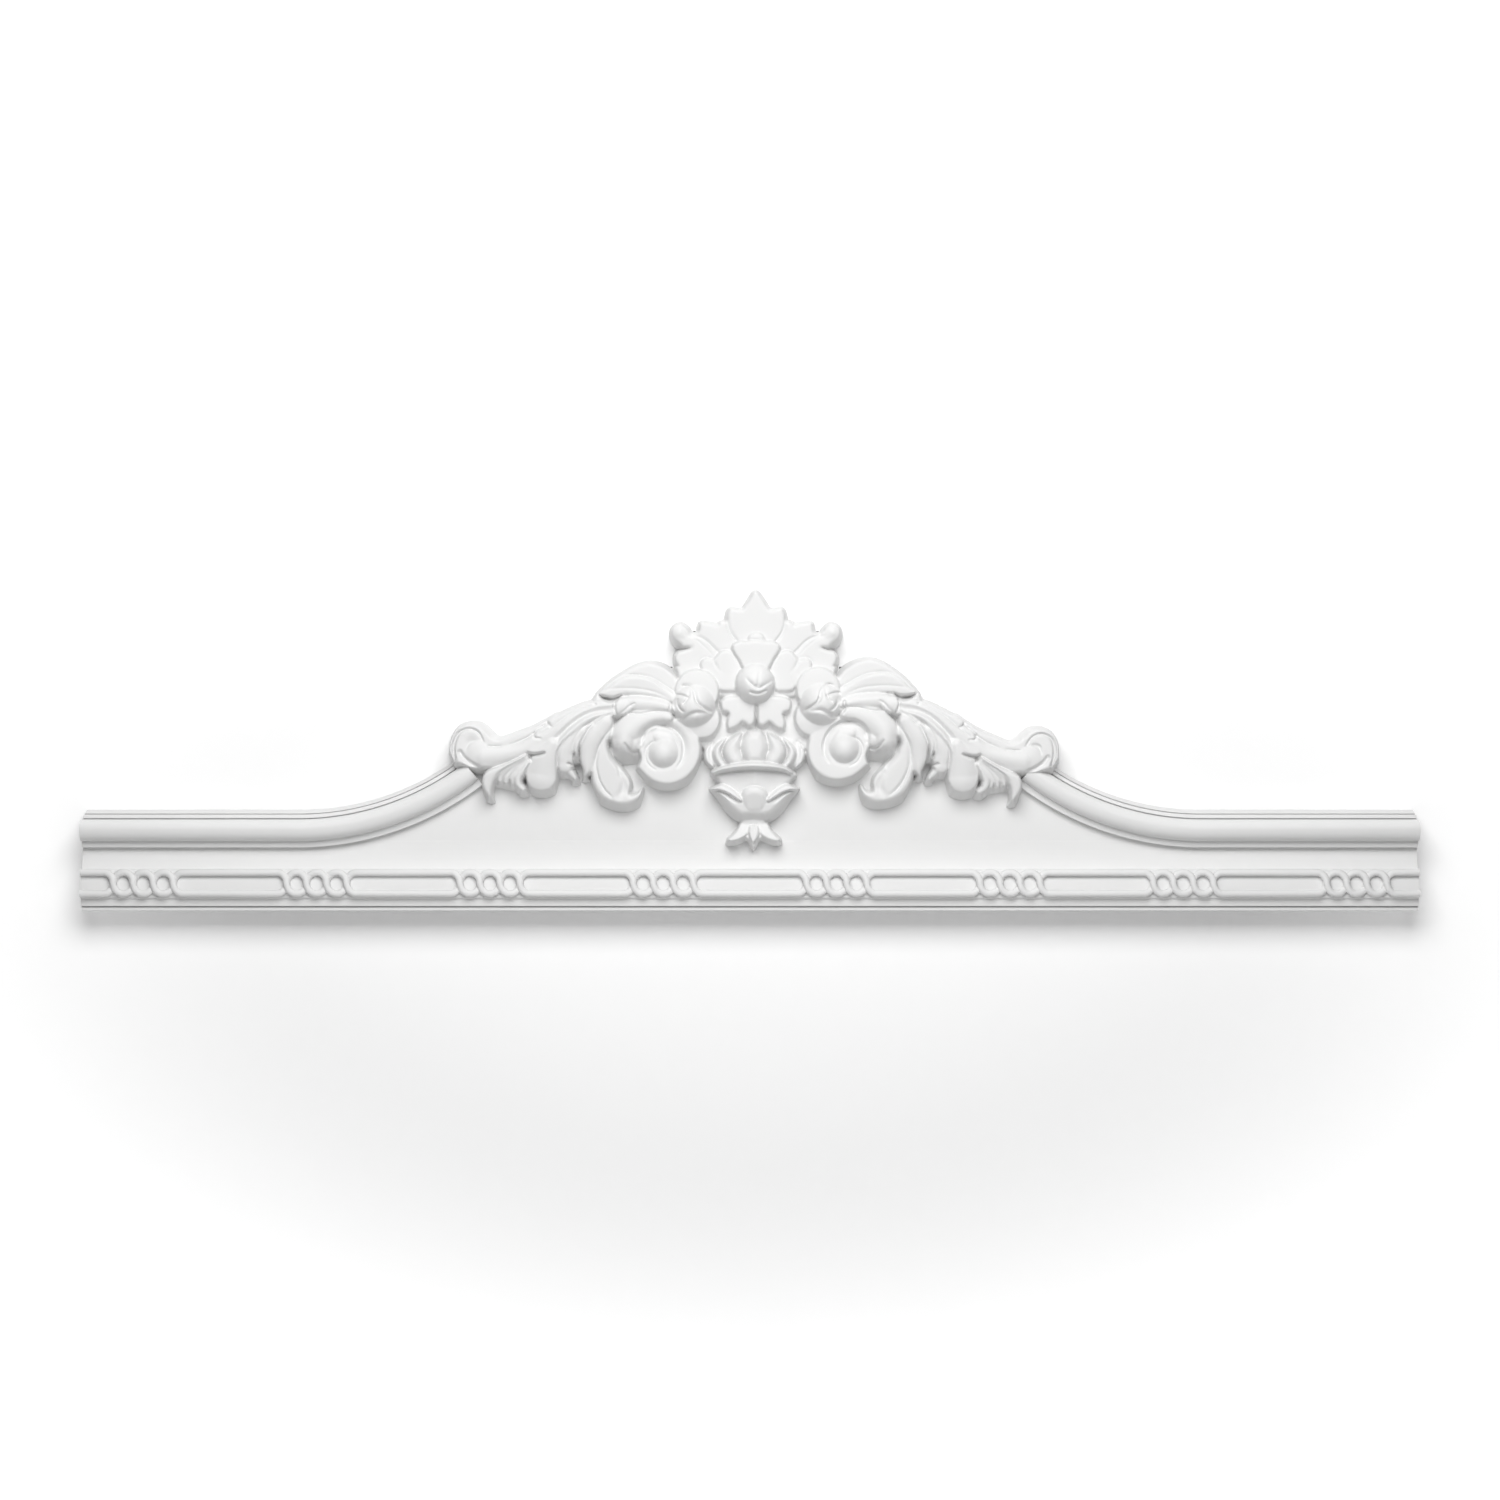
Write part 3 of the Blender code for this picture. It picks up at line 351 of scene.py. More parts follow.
class Relief:
    """Heights over a grid, in sheet units out from the wall, worked up one carved form at a time."""

    def __init__(self, half_width, low, high, step):
        self.across = np.arange(-half_width, half_width + step / 2, step)
        self.up = np.arange(low, high + step / 2, step)
        self.heights = np.full((len(self.up), len(self.across)), -GROUND)
        self.step = step
        self.place = self.left

    # A form's points go through the place in use, so one form serves both wings

    def left(self, out, up):
        return -out, up

    def right(self, out, up):
        """The right wing leans a little outward at its top and hangs lower at its end."""
        return out - 3 + 0.13 * up, up + 4.5 - 0.05 * max(out - 90, 0)

    def right_rose(self, out, up):
        return out + 4, up + 2

    def centred(self, across, up):
        return across, up

    def line(self, points, *values):
        """The smooth line of a form, with one number or a few spread along it for each value."""
        along = np.linspace(0, 1, len(points))
        columns = [np.array([self.place(out, up) for out, up in points])]
        for value in values:
            given = np.atleast_1d(np.array(value, float))
            columns.append(np.interp(along, np.linspace(0, 1, len(given)), given))
        return smooth_line(np.column_stack(columns))

    def window(self, line, reach):
        """The part of the grid round a line."""
        low, high = line[:, :2].min(axis=0) - reach, line[:, :2].max(axis=0) + reach
        columns = slice(*np.searchsorted(self.across, (low[0], high[0])))
        rows = slice(*np.searchsorted(self.up, (low[1], high[1])))
        return (rows, columns), *np.meshgrid(self.across[columns], self.up[rows])

    def measure(self, line, reach):
        """Round a line: the grid window, the distance and side, how far up a point lies, its values."""
        window, x, z = self.window(line, reach)
        nearest = np.full(x.shape, np.inf)
        side, rise_to = np.ones(x.shape), np.zeros(x.shape)
        found = [np.zeros(x.shape) for _ in line[0, 2:]]
        for one, two in zip(line, line[1:] if len(line) > 1 else line):
            run, rise = two[:2] - one[:2]
            squared = max(run * run + rise * rise, 1e-9)
            t = np.clip(((x - one[0]) * run + (z - one[1]) * rise) / squared, 0, 1)
            up = z - one[1] - t * rise
            gap = np.hypot(x - one[0] - t * run, up)
            nearer = gap < nearest
            nearest = np.where(nearer, gap, nearest)
            rise_to = np.where(nearer, up, rise_to)
            turn = np.where((x - one[0]) * rise - (z - one[1]) * run >= 0, 1.0, -1.0)
            side = np.where(nearer, turn, side)
            for i, value in enumerate(found):
                found[i] = np.where(nearer, one[2 + i] + t * (two[2 + i] - one[2 + i]), value)
        return window, nearest, side, rise_to / np.maximum(nearest, 0.01), found

    def raise_to(self, window, height, beyond, upward, wall):
        """Lifts the grid to a form, with walls that are steep but for those that face down."""
        slope = wall + (STEEP_WALL - wall) * np.clip(upward / TURN_TO_STEEP + 1, 0, 1)
        height = height - np.maximum(beyond, 0) * slope
        height = np.where(height < FASCIA, FASCIA + (height - FASCIA) * BACKING_SLOPE / slope, height)
        self.heights[window] = np.maximum(self.heights[window], height)

    def fold(self, points, half, top, crown=2.0, wall=WALL_SLOPE, power=2.0):
        """A rounded leaf, ball or band along a line."""
        line = self.line(points, half, top, crown)
        window, gap, _, upward, (width, level, swell) = self.measure(line, max(line[:, 2]) + WALL_REACH_OUT)
        width = np.maximum(width, LEAST_WIDTH)
        level = FASCIA + (level - FASCIA) * BOLDNESS
        height = level + swell * BOLDNESS * (1 - np.clip(gap / width, 0, 1) ** power)
        self.raise_to(window, height, gap - width, upward, wall)

    def plate(self, points, top, roll=3.0, drop=2.0, wall=WALL_SLOPE, lean=(0, 0)):
        """A flat petal or leaf with an outline of its own, whose edge rolls back and whose face may lean."""
        line = self.line(list(points) + [points[0]])
        window, gap, _, upward, _ = self.measure(line, WALL_REACH_OUT)
        x, z = self.window(line, WALL_REACH_OUT)[1:]
        inside = np.zeros(x.shape, bool)
        for one, two in zip(line, line[1:]):
            crossed = (one[1] > z) != (two[1] > z)
            at = one[0] + (two[0] - one[0]) * (z - one[1]) / (two[1] - one[1] or 1e-9)
            inside ^= crossed & (x < at)
        middle = line[:, :2].mean(axis=0)
        level = FASCIA + (top - FASCIA) * BOLDNESS
        level = level + lean[0] * np.abs(x - middle[0]) + lean[1] * (z - middle[1])
        height = level - drop * BOLDNESS * (1 - np.clip(np.where(inside, gap, 0) / roll, 0, 1)) ** 2
        area = self.heights[window]
        cut = np.where((area > FASCIA) & (area < height), EDGE_CUT, 0)
        area -= cut * np.clip(1 - gap / EDGE_CUT_WIDTH, 0, 1)
        self.raise_to(window, height, np.where(inside, 0, gap), upward, wall)

    def groove(self, points, half, deep, steep_side=0):
        """A soft cut along a line, steep on one side only where a side is given."""
        line = self.line(points, half, deep)
        window, gap, side, _, (width, cut) = self.measure(line, max(line[:, 2]) * 3 + 3)
        width = np.maximum(width, LEAST_WIDTH)
        shape = (1 - np.clip(gap / width, 0, 1) ** 2) ** 2
        if steep_side:
            gentle = (1 - np.clip(gap / (width * 3), 0, 1)) ** 2
            shape = np.where(side * steep_side > 0, shape, gentle)
        area = self.heights[window]
        area -= np.where(area > 0, cut * BOLDNESS, 0) * shape

    def blurred(self, radius):
        """The heights, softened a little so that no edge is sharper than in a cast."""
        reach = int(np.ceil(radius * 3 / self.step))
        weights = np.exp(-0.5 * (np.arange(-reach, reach + 1) * self.step / radius) ** 2)
        weights /= weights.sum()
        heights = self.heights + GROUND
        for axis in (0, 1):
            heights = np.apply_along_axis(lambda row: np.convolve(row, weights, "same"), axis, heights)
        return heights - GROUND


def both_halves(points, shift=1):
    """A closed outline from its left half, given as (out, up) from the middle: the right half mirrors it."""
    left = [(-out, up) for out, up in points]
    return left + [(out + shift, up) for out, up in reversed(points)]


def shell(relief):
    """The ribbed shell at the top, behind the flower."""
    relief.place = relief.centred
    relief.plate(both_halves([(5.5, 151.5), (10.5, 144), (14.5, 140.5), (24.5, 142), (27.5, 138), (29, 130),
                              (31.5, 128.5), (35.5, 128), (38, 125), (42.5, 126.5), (53.5, 128),
                              (56, 125.5), (57, 119), (61.5, 116), (65.5, 117.5), (69.5, 123),
                              (74.5, 126.5), (78.5, 126), (82.5, 123), (84, 118), (82.5, 113), (78.5, 109),
                              (74.5, 106), (71.5, 103.5), (64.5, 102.5), (71.5, 100), (76.5, 99), (80, 95),
                              (80.5, 91), (79.5, 87), (77.5, 84), (79, 80), (65.5, 60),
                              (10.5, 50)]) + [(0, 159)], 40, 4, 1.6)
    for relief.place in (relief.left, lambda out, up: (out + 1, up)):
        relief.groove([(28.5, 130), (27.5, 123), (24.5, 116), (18.5, 108)], 1.6, [1.2, 1.8, 1.8, 2.2], 1)
        relief.groove([(72.5, 116), (65.5, 114), (56.5, 113), (48.5, 108), (42.5, 102), (36.5, 96)], 1.5,
                      [0.4, 1.4, 1.4, 1.6, 1.8, 2.2], 1)
        relief.groove([(63.5, 112), (57.5, 109), (49.5, 102), (43.5, 96)], 1, [0.3, 0.7, 0.7, 0.4])
        relief.fold([(75.5, 117), (67.5, 110)], [5, 2], [40, 39], [1.6, 0.5])


def curl(relief):
    """The curl at the wing's end: a dished disc, and the rim that runs on as the leaf's upper edge."""
    relief.plate([(306.5, -2), (306, 6), (303.5, 14.5), (298.5, 21.5), (291.5, 25), (283.5, 26),
                  (276.5, 24), (270.5, 19), (264.5, 13), (258.5, 10.5), (251.5, 12), (240.5, 16),
                  (225.5, 21.5), (210.5, 29), (199.5, 34.5), (199.5, 20), (215.5, 5), (235.5, -7),
                  (255.5, -16), (270.5, -18), (281.5, -18), (291.5, -15), (300.5, -12)], 44, 3, 2, 3.2)
    relief.groove([(300.5, -10), (302, 0), (301, 8), (297, 16.5), (290.5, 20.5), (284.5, 21), (278.5, 18.5),
                   (274.5, 13), (271.5, 6), (265.5, 3.3), (256.5, 3.5), (246.5, 3), (233.5, 4), (224.5, 7)],
                  [2.4, 2.4, 2.4, 2.2, 2, 1.8, 1.6, 1.5, 1.5, 1.5, 1.3, 1.2, 1.2],
                  [5, 5, 4, 3.5, 3, 3, 2.5, 2, 2, 2, 2])
    relief.groove([(287.5, 3), (285.5, 8), (281.5, 9.5), (276.5, 8)], 3, [1.2, 2, 1.6, 0.6], 1)
    relief.fold([(277.5, -2), (269.5, -6), (259.5, -5)], [11, 10, 7], [44, 44.5, 44], [1.5, 1.5, 1])
    relief.groove([(295.5, -2), (291.5, -8), (285.5, -13), (277.5, -17)], 3.5, [3, 3.5, 3.5, 2])
    relief.groove([(261.5, 1.5), (260.5, -2.5), (257.5, -5.5), (254, -7.5)], 1.6, [3, 3.5, 3, 2], 1)
    relief.groove([(246.5, 5), (235.5, 9), (224.5, 14.5), (214.5, 21.5), (208.5, 28)], 1.3,
                  [1, 2, 2.4, 2.6, 2.4])


def tip_leaves(relief):
    """The hooked leaf below the curl and the folds beside it, with the lid over them."""
    relief.plate([(228.5, -4), (240.5, -10), (252.5, -15), (263.5, -19), (270.5, -23), (273.5, -31),
                  (272.5, -38), (269.5, -43.5), (265, -47), (264, -40), (262.5, -34), (258.5, -27),
                  (251.5, -21), (241.5, -14.5), (231.5, -9)], 46.5, 4, 2.2, 2.2, (0.05, 0.25))
    for line, half, top in (
        ([(228.5, -7.5), (241.5, -15), (252, -23), (255.5, -30)], [1.5, 2.4, 3, 2.6], [46, 44, 42, 40]),
        ([(228.5, -9), (239.5, -17.5), (247.5, -25.5), (249.5, -32)], [1.5, 2.4, 2.8, 2.4], [45, 43, 41, 39]),
        ([(227.5, -10), (236.5, -19), (242.5, -27), (243, -33)], [1.5, 2.4, 2.8, 2.4], [45, 43, 41, 39.5]),
        ([(225.5, -12), (232, -20), (237, -27), (237, -34), (232.5, -39)], [1.5, 3, 3.6, 3.4, 2.6],
         [46.5, 45, 43.5, 42.5, 41]),
    ):
        relief.fold(line, half, top, 1.8, 2.8)
    relief.groove([(227.5, -6), (237.5, -11.5), (247.5, -17), (255.5, -22.5), (259.5, -27.5)], 1.1,
                  [1, 2.2, 2.4, 2, 1])
    relief.fold([(202.5, 6), (210.5, -8), (214, -25)], [6, 12, 15.5], [48.5, 46.5, 42.5], [2.5, 3, 4], 2.6)
    relief.groove([(222.5, -9), (227.5, -17), (230.5, -25), (229.5, -33)], 1.5, [1.2, 2.6, 3, 2])
    relief.groove([(227.5, -2.8), (222.5, -5), (215.5, -4), (210.5, -2.6)], [1.6, 2.2, 2.1, 1.4],
                  [4, 7, 7, 5])
    relief.groove([(221.5, 17), (221, 12.5), (214.5, 11.5)], 1.2, [1.5, 2.8, 2])


def middle_leaves(relief):
    """The leaves between the tips and the drop, with the thin bright one that runs up between them."""
    relief.fold([(173.5, 19), (189.5, 2), (190.5, -14)], [7.5, 9, 8], [49, 46.5, 43.5], 2.2, 3)
    relief.fold([(189.5, -18), (184.5, -23), (180.5, -28)], [2.5, 3, 2], [42.5, 41, 39.5], 1.2, 2.6)
    relief.fold([(150.5, 28), (163.5, 12), (167.5, -5), (168, -18), (170.5, -25.5)], [8, 9.5, 8, 5.5, 1.5],
                [50, 49, 46, 43.5, 41], 2.4, 3)
    relief.fold([(162.5, 26.5), (171.5, 19.5), (178, 7), (179, -6)], [1, 2, 2.3, 1], [50, 49.5, 49, 47], 1,
                3)
    relief.groove([(161, 27.5), (168.5, 17), (175, 4), (176, -9), (175.5, -16)], 1.1, [1.5, 3, 3.4, 3, 1])
    relief.groove([(164.5, 27), (173.5, 21), (180, 11.5), (182.5, 0), (180.5, -9)], 0.9,
                  [1, 1.8, 1.8, 1.2, 0.5])
    relief.groove([(187, -13.3), (181.5, -15), (176, -15.5)], [1.4, 2, 2.2], [4, 7, 8])
    relief.groove([(192.5, 9), (197, -2), (198, -15), (197.5, -27)], 1.5, [0.8, 2, 3, 3])
    relief.groove([(142.5, 37), (152.5, 31), (160.5, 25)], 1.1, [1, 1.6, 2])


def drop_leaf(relief):
    """The long leaf that drops past the scroll, with its turned-up tip, its hollow and the drape over it."""
    relief.plate([(143.5, 28), (153.5, 12), (159.5, -3), (163, -16), (164, -27), (161.5, -37.5),
                  (155.5, -46.5), (146.5, -52.5), (135.5, -55.5), (126.5, -55), (119, -51), (114.5, -45.5),
                  (113.5, -39), (117, -42), (121.5, -44.5), (126, -44.5), (126, -40), (124.5, -35),
                  (127, -27.5), (134, -18.5), (141.5, -10), (146.5, 0), (147.5, 8), (142.5, 15)], 45, 5, 3,
                 2.4, (0, 0.12))
    relief.groove([(157.5, -3), (159, -16), (156.5, -29), (150.5, -40), (143.5, -47)], 1.2,
                  [1, 2.4, 2.8, 2.4, 1], -1)
    relief.groove([(133.5, -26), (131.5, -33), (132.5, -41), (136.5, -46)], 6, [1.5, 2.4, 2.4, 1])
    relief.groove([(147, 4), (144.5, -7), (138, -16), (135.5, -25)], 2.2, [1, 3, 3, 1], 1)
    relief.fold([(93.5, 34), (113.5, 29), (128.5, 18), (131.5, 9)], [7, 12, 13.5, 12], [49, 48, 47, 46],
                [2, 4, 6, 7], 2.1)
    relief.fold([(119.5, 9)], 10, 45, [4], 1.8)
    relief.groove([(130, 6.5), (126.5, 1), (122, -2), (117, -1), (113.5, 3.5)], 1.2,
                  [2.5, 4.5, 4.5, 4.5, 3], -1)


def cap_folds(relief):
    """The folds that rise behind the rose and turn over at the top."""
    relief.plate([(163, 49), (158.5, 56), (150.5, 64), (140.5, 72), (128.5, 79.5), (118.5, 84.5),
                  (107.5, 87), (97.5, 85.5), (88.5, 81), (79.5, 73), (73.5, 60), (73.5, 40), (95.5, 38),
                  (115.5, 36), (133.5, 38), (143.5, 44), (155.5, 46)], 44.5, 4, 2.2, 4)
    relief.plate([(156.5, 56), (148.5, 61), (138.5, 69), (127.5, 74), (115.5, 74), (103.5, 71), (91.5, 64),
                  (79.5, 55), (77.5, 44), (87.5, 47), (100.5, 51.5), (115.5, 53.5), (133.5, 53),
                  (143.5, 52), (150.5, 53)], 47.5, 4, 1.8, 3.2, (0, 0.1))
    relief.fold([(135.5, 46.5), (123.5, 47.5), (109.5, 46.5), (95.5, 45), (83.5, 41)],
                [4.5, 6.5, 6.5, 5.5, 4], [48, 49, 49.5, 49.5, 49.5], 2, 3)
    relief.fold([(123.5, 31), (105.5, 34), (87.5, 33)], [4, 5, 5], [48, 49, 49.5], 1.5)
    relief.groove([(137.5, 69), (128.5, 73.5), (117.5, 74.5), (105.5, 71), (93.5, 64), (82.5, 55)], 1.1,
                  [0.8, 2, 2, 2, 2, 1])
    relief.groove([(130.5, 54), (115.5, 52.5), (100.5, 50.5), (87.5, 46.5)], 1.8, [3, 2.6, 2.4, 2.4], 1)
    relief.groove([(155.5, 59.5), (140.5, 61.5), (120.5, 61.5), (100.5, 58), (85.5, 51)], 1.2,
                  [0.2, 0.8, 0.9, 0.9, 0.4])
    relief.groove([(125.5, 37), (115.5, 36), (102.5, 38), (92.5, 38.5), (84.5, 37.5)], 1.5,
                  [4, 2.8, 2.6, 2.6, 2.6])
    relief.groove([(138.5, 34), (131.5, 38.5), (126, 43.5), (120.5, 46.5)], 1, [0.8, 1.8, 1.8, 2.2])
    relief.groove([(139.5, 49), (141, 42), (138.5, 34)], 1.8, [3.5, 3.5, 2.5])
    relief.groove([(156.5, 55), (150.5, 51.5), (144.5, 50), (139.5, 51), (134.5, 54.5)],
                  [1.5, 3, 3.8, 3, 1.5], [4, 9, 11, 9, 4])


def ridge(relief):
    """The wing's long ridge from the rose to the curl, with the creases along it."""
    relief.fold([(271.5, -6), (250.5, -4), (230.5, 1), (207.5, 15), (180.5, 30), (155.5, 40), (130.5, 44)],
                [9, 7.5, 7, 9, 9, 9, 8], [44.5, 44.5, 45, 46.5, 48, 49, 49.5], 2.4)
    relief.plate([(155.5, 49), (171.5, 45.5), (185.5, 40), (197.5, 34.5), (207, 29), (206.5, 25),
                  (214.5, 21.5), (220, 17), (221, 12.5), (217.5, 10), (224, 6), (227.5, 1), (227.5, -3),
                  (219.5, -4.2), (210.5, -2.5), (199.5, 5), (187.5, 15), (175.5, 23), (161.5, 30),
                  (147.5, 34), (139.5, 42), (143.5, 48)], 48, 3, 1.8, 4)
    relief.fold([(149.5, 37), (165.5, 32), (181.5, 21), (193.5, 8), (201.5, -7)], [2, 3, 3.5, 3.5, 2],
                [50.5, 51, 50.5, 49.5, 47], 1.5)
    for points, half, deep in (
        ([(142.5, 41), (161.5, 38), (177.5, 30), (190.5, 19), (204.5, 5)], 4.5, [1.5, 2.6, 2.8, 2.4, 1]),
        ([(155.5, 46.5), (172.5, 41), (187.5, 34), (202.5, 23.5), (215.5, 15)], 2, [0.6, 1.4, 1.5, 1.4, 0.6]),
        ([(184.5, 15), (194.5, 3), (201.5, -10), (204.5, -24)], 2.2, [0.8, 1.6, 1.8, 1]),
        ([(207.5, 29), (206.5, 25), (202.5, 23)], 1.2, [2.4, 2.4, 1.2]),
        ([(163.5, 49.5), (159.5, 45)], 1.2, 2.4),
        ([(137.5, 23), (145.5, 5)], 4, 1.2),
    ):
        relief.groove(points, half, deep)


def wing(relief):
    """One side's acanthus leaf, from the curl at its end to the folds that come out behind the rose."""
    relief.fold([(255.5, -7), (225.5, -4), (195.5, 4), (155.5, 17), (115.5, 28), (90.5, 32)],
                [10, 16, 22, 31, 38], 37, 0)
    curl(relief)
    ridge(relief)
    tip_leaves(relief)
    middle_leaves(relief)
    drop_leaf(relief)
    cap_folds(relief)


def scroll(relief):
    """The flat scroll beside the urn, with the step round its eye and the ball in it."""
    relief.plate([(117.5, -17), (110.5, -24.5), (102.5, -30.5), (91.5, -34), (80.5, -33), (69.5, -27.5),
                  (61, -18.5), (56, -7), (55.5, 5), (58.5, 15), (65.5, 23), (75.5, 30), (89.5, 34),
                  (105.5, 33), (114.5, 22), (117.5, 5), (114.5, -8)], 45.5, 3, 1.2, 3.2)
    relief.groove([(114.5, 6), (112.5, 14.5), (106.5, 21.5), (97.5, 25), (87.5, 23.5), (79, 18.5), (73, 10),
                   (71.5, 0), (73.5, -10), (78.5, -17)], [1.8] + [2.6] * 7 + [2, 1],
                  [3] + [5] * 5 + [4.5, 4, 2.5, 1], 1)
    relief.groove([(92, -2.5)], 20.5, 3.2)
    relief.fold([(92, -2.5)], 17.6, 41, 12.5, 6, 2.3)
    relief.fold([(96.5, 13), (87.5, 10.5), (82.5, 5)], [5, 5, 3], [46, 46, 46], 1.5)
    relief.groove([(94.5, 8.5), (101.5, 8), (107, 4.5), (110, -1), (110, -8), (106.5, -15.5), (99.5, -20)],
                  1.1, [1.2, 2.2, 2.6, 2.6, 2.4, 2, 0.8])


def urn(relief):
    """The half urn: gadrooned bowl, rim, cup, leaf calyx and tulip drop."""
    relief.place = relief.centred
    relief.plate(both_halves([(65.5, 60), (67.5, 30), (55.5, 8), (40.5, -2)], -1), 35, 3, 1, 4)
    relief.plate(both_halves([(33.5, 13), (43.5, 9), (50.5, 3), (53, -5), (50.5, -13), (42.5, -19),
                              (25.5, -21), (7.5, -22)], -2), 44, 7, 6, 5, (-0.22, 0))
    for relief.place in (relief.left, lambda out, up: (out - 2, up)):
        relief.plate([(43.5, 8), (49.5, 2.5), (51.7, -5), (49, -13), (41.5, -18), (44.5, -10), (45.7, -1)],
                     39, 4, 3, 8)
        relief.plate([(29.5, 12), (37.5, 6), (42.5, -1.5), (41, -10), (35.5, -17), (27.5, -17), (32, -10),
                      (34.5, -2), (33, 5)], 45, 5, 4, 8)
        relief.plate([(14.5, 17), (22.5, 13), (29.5, 6.5), (32.3, -1.5), (30, -9), (24.5, -15), (15.5, -15),
                      (12.7, -9), (15.5, 0), (14.5, 8)], 49.5, 7, 5, 8)
    relief.place = relief.centred
    relief.plate(both_halves([(6.5, 19), (11.5, 13.5), (14.3, 6.5), (14.1, -1), (11.7, -7.5), (7.5, -13)],
                             -2), 51.5, 9, 6.5, 8)
    relief.plate(both_halves([(10.5, -17), (25.5, -19), (37.5, -21.5), (43, -24.8), (39, -29), (36.5, -33),
                              (29.5, -40), (23.5, -50), (10.5, -56)], -2), 48, 5, 2.5, 5, (-0.25, 0.12))
    relief.place = relief.left
    relief.groove([(41.5, -25), (33.5, -21.8), (17.5, -19.2), (1.5, -18.2), (-14.5, -19), (-28.5, -21.5),
                   (-34.5, -25)], 2.4, [1.5, 2.2, 2.6, 2.6, 2.6, 2.2, 1.5], -1)
    relief.fold([(42.5, -22.5), (33.5, -19), (17.5, -16), (1, -15), (-15.5, -16), (-28.5, -18.5),
                 (-35.5, -22.5)], [1.2, 1.8, 2.2, 2.4, 2.2, 1.8, 1.2], [46, 50, 55, 57, 55, 50, 46], 1, 7)
    calyx(relief)
    tulip(relief)


def calyx(relief):
    """The cup's leaves, which curl out at both sides, and the rounded one between them."""
    relief.place = relief.centred
    relief.plate(both_halves([(7.5, -41), (19.5, -42), (31.5, -38), (43.5, -38.5), (45.7, -40.8),
                              (38, -49.5), (31, -61), (23.5, -68.5), (15.5, -72.8), (7.5, -73)], -2), 47,
                 13, 15, 13, (0, 0.2))
    for relief.place in (relief.left, lambda out, up: (out - 2, up)):
        relief.plate([(45, -39.3), (39.5, -36.6), (33.5, -34.5), (26.5, -37.5), (20.5, -42), (15.5, -47),
                      (14.5, -51), (21.5, -47), (28.5, -42.6), (36.5, -39.8), (42.5, -39.8)], 49, 2, 0.6,
                     13, (0, -0.4))
    relief.place = relief.left
    relief.plate([(14.5, -47), (12.5, -41.5), (7.5, -37.7), (1, -36.3), (-5.5, -37.7), (-10.5, -41.5),
                  (-12.5, -47), (-12, -56), (-8.5, -63), (1, -66), (10.5, -63), (14, -56)], 50, 8, 4, 13,
                 (0, 0.42))


def tulip(relief):
    """The tulip at the foot, with a petal out to each side and one down."""
    relief.fold([(2, -74), (2, -80)], [12.5, 11], [35.5, 38], 2, 5)
    for relief.place in (relief.left, lambda out, up: (out - 3, up)):
        relief.plate([(15.5, -73), (18, -79), (22, -84), (27.5, -89.5), (24.5, -91), (17.5, -89.5),
                      (11.5, -86.5), (7.5, -83), (3.5, -78), (5.5, -73)], 40, 2, 0.8, 4.2, (0, -0.55))
    relief.place = relief.left
    relief.plate([(9.5, -82), (8, -89), (5.5, -95.5), (2, -100), (-1.5, -95.5), (-4, -89), (-5, -82),
                  (-1.5, -76), (5.5, -76)], 39, 4, 4.5, 6)
    relief.plate([(7, -82), (5.5, -88), (2.5, -93), (-0.5, -90), (-3.5, -83), (-1.5, -76), (5.5, -76)], 42,
                 2, 1, 8, (0, -0.15))
    relief.groove([(0, -74), (0.5, -80)], 1.1, 1.6)


def flower(relief):
    """The five-petalled flower in the middle, with its round bud."""
    relief.place = relief.left
    relief.fold([(-0.8, 109)], 8.2, 42.5, 1.4)
    for relief.place in (relief.left, lambda out, up: (out + 1, up)):
        relief.plate([(13.5, 84), (19.5, 93.5), (24, 98), (30.5, 99.5), (35.5, 97.7), (39, 94),
                      (42.5, 90.7), (47.5, 91.4), (51.7, 91), (54.5, 88.5), (55.5, 84.5), (53.5, 80),
                      (47.5, 73), (39.5, 64), (35.5, 59.5), (27.5, 58.5), (18.5, 60), (13.5, 70)], 44.5, 3,
                     1.6, 3, (-0.1, 0))
        relief.groove([(42.5, 90), (39.5, 84), (33.5, 77)], 2.5, [1.2, 0.8, 0.2])
        relief.plate([(17.5, 54), (25.5, 53.5), (31, 52), (34.5, 48.5), (34.5, 44), (32.5, 39.5), (28, 38),
                      (26.5, 35), (28, 30.5), (28.5, 26), (27, 21.2), (22.5, 21.5), (17.5, 24.5),
                      (14.5, 27.2), (12.5, 28.5), (10.5, 27), (7, 24.7), (3.5, 25.2), (0.7, 29), (0, 38),
                      (0, 50), (7.5, 53)], 44.5, 3, 1.6, 3, (-0.08, 0))
    relief.place = relief.centred
    relief.plate(both_halves([(13.5, 83), (18, 91.5), (22, 97.5), (23.5, 101.5), (22.5, 105), (19, 107.4),
                              (14.5, 108.8), (8.5, 108.2), (2.5, 109.4)]) + [(0, 60)], 46.5, 3, 1.8, 3)
    relief.place = relief.left
    relief.groove([(-1.3, 46), (-1.3, 21)], 1.4, [3, 5])
    relief.groove([(0.5, 66.5)], 23, 3)
    relief.fold([(0.5, 66.5)], 18.8, 48, 11, 4, 2.4)
    relief.groove([(9, 71), (5.5, 66.5), (0.5, 62.5), (-4.5, 61.5), (-9.5, 64.5), (-16.5, 69)], 1.5,
                  [1, 2.4, 2.8, 2.6, 2, 1], 1)
    relief.groove([(-4, 78), (-2.5, 64)], 1.6, [0.5, 2])
    relief.groove([(5.5, 57.5), (-2.5, 56), (-10.5, 59)], 1.5, 2)


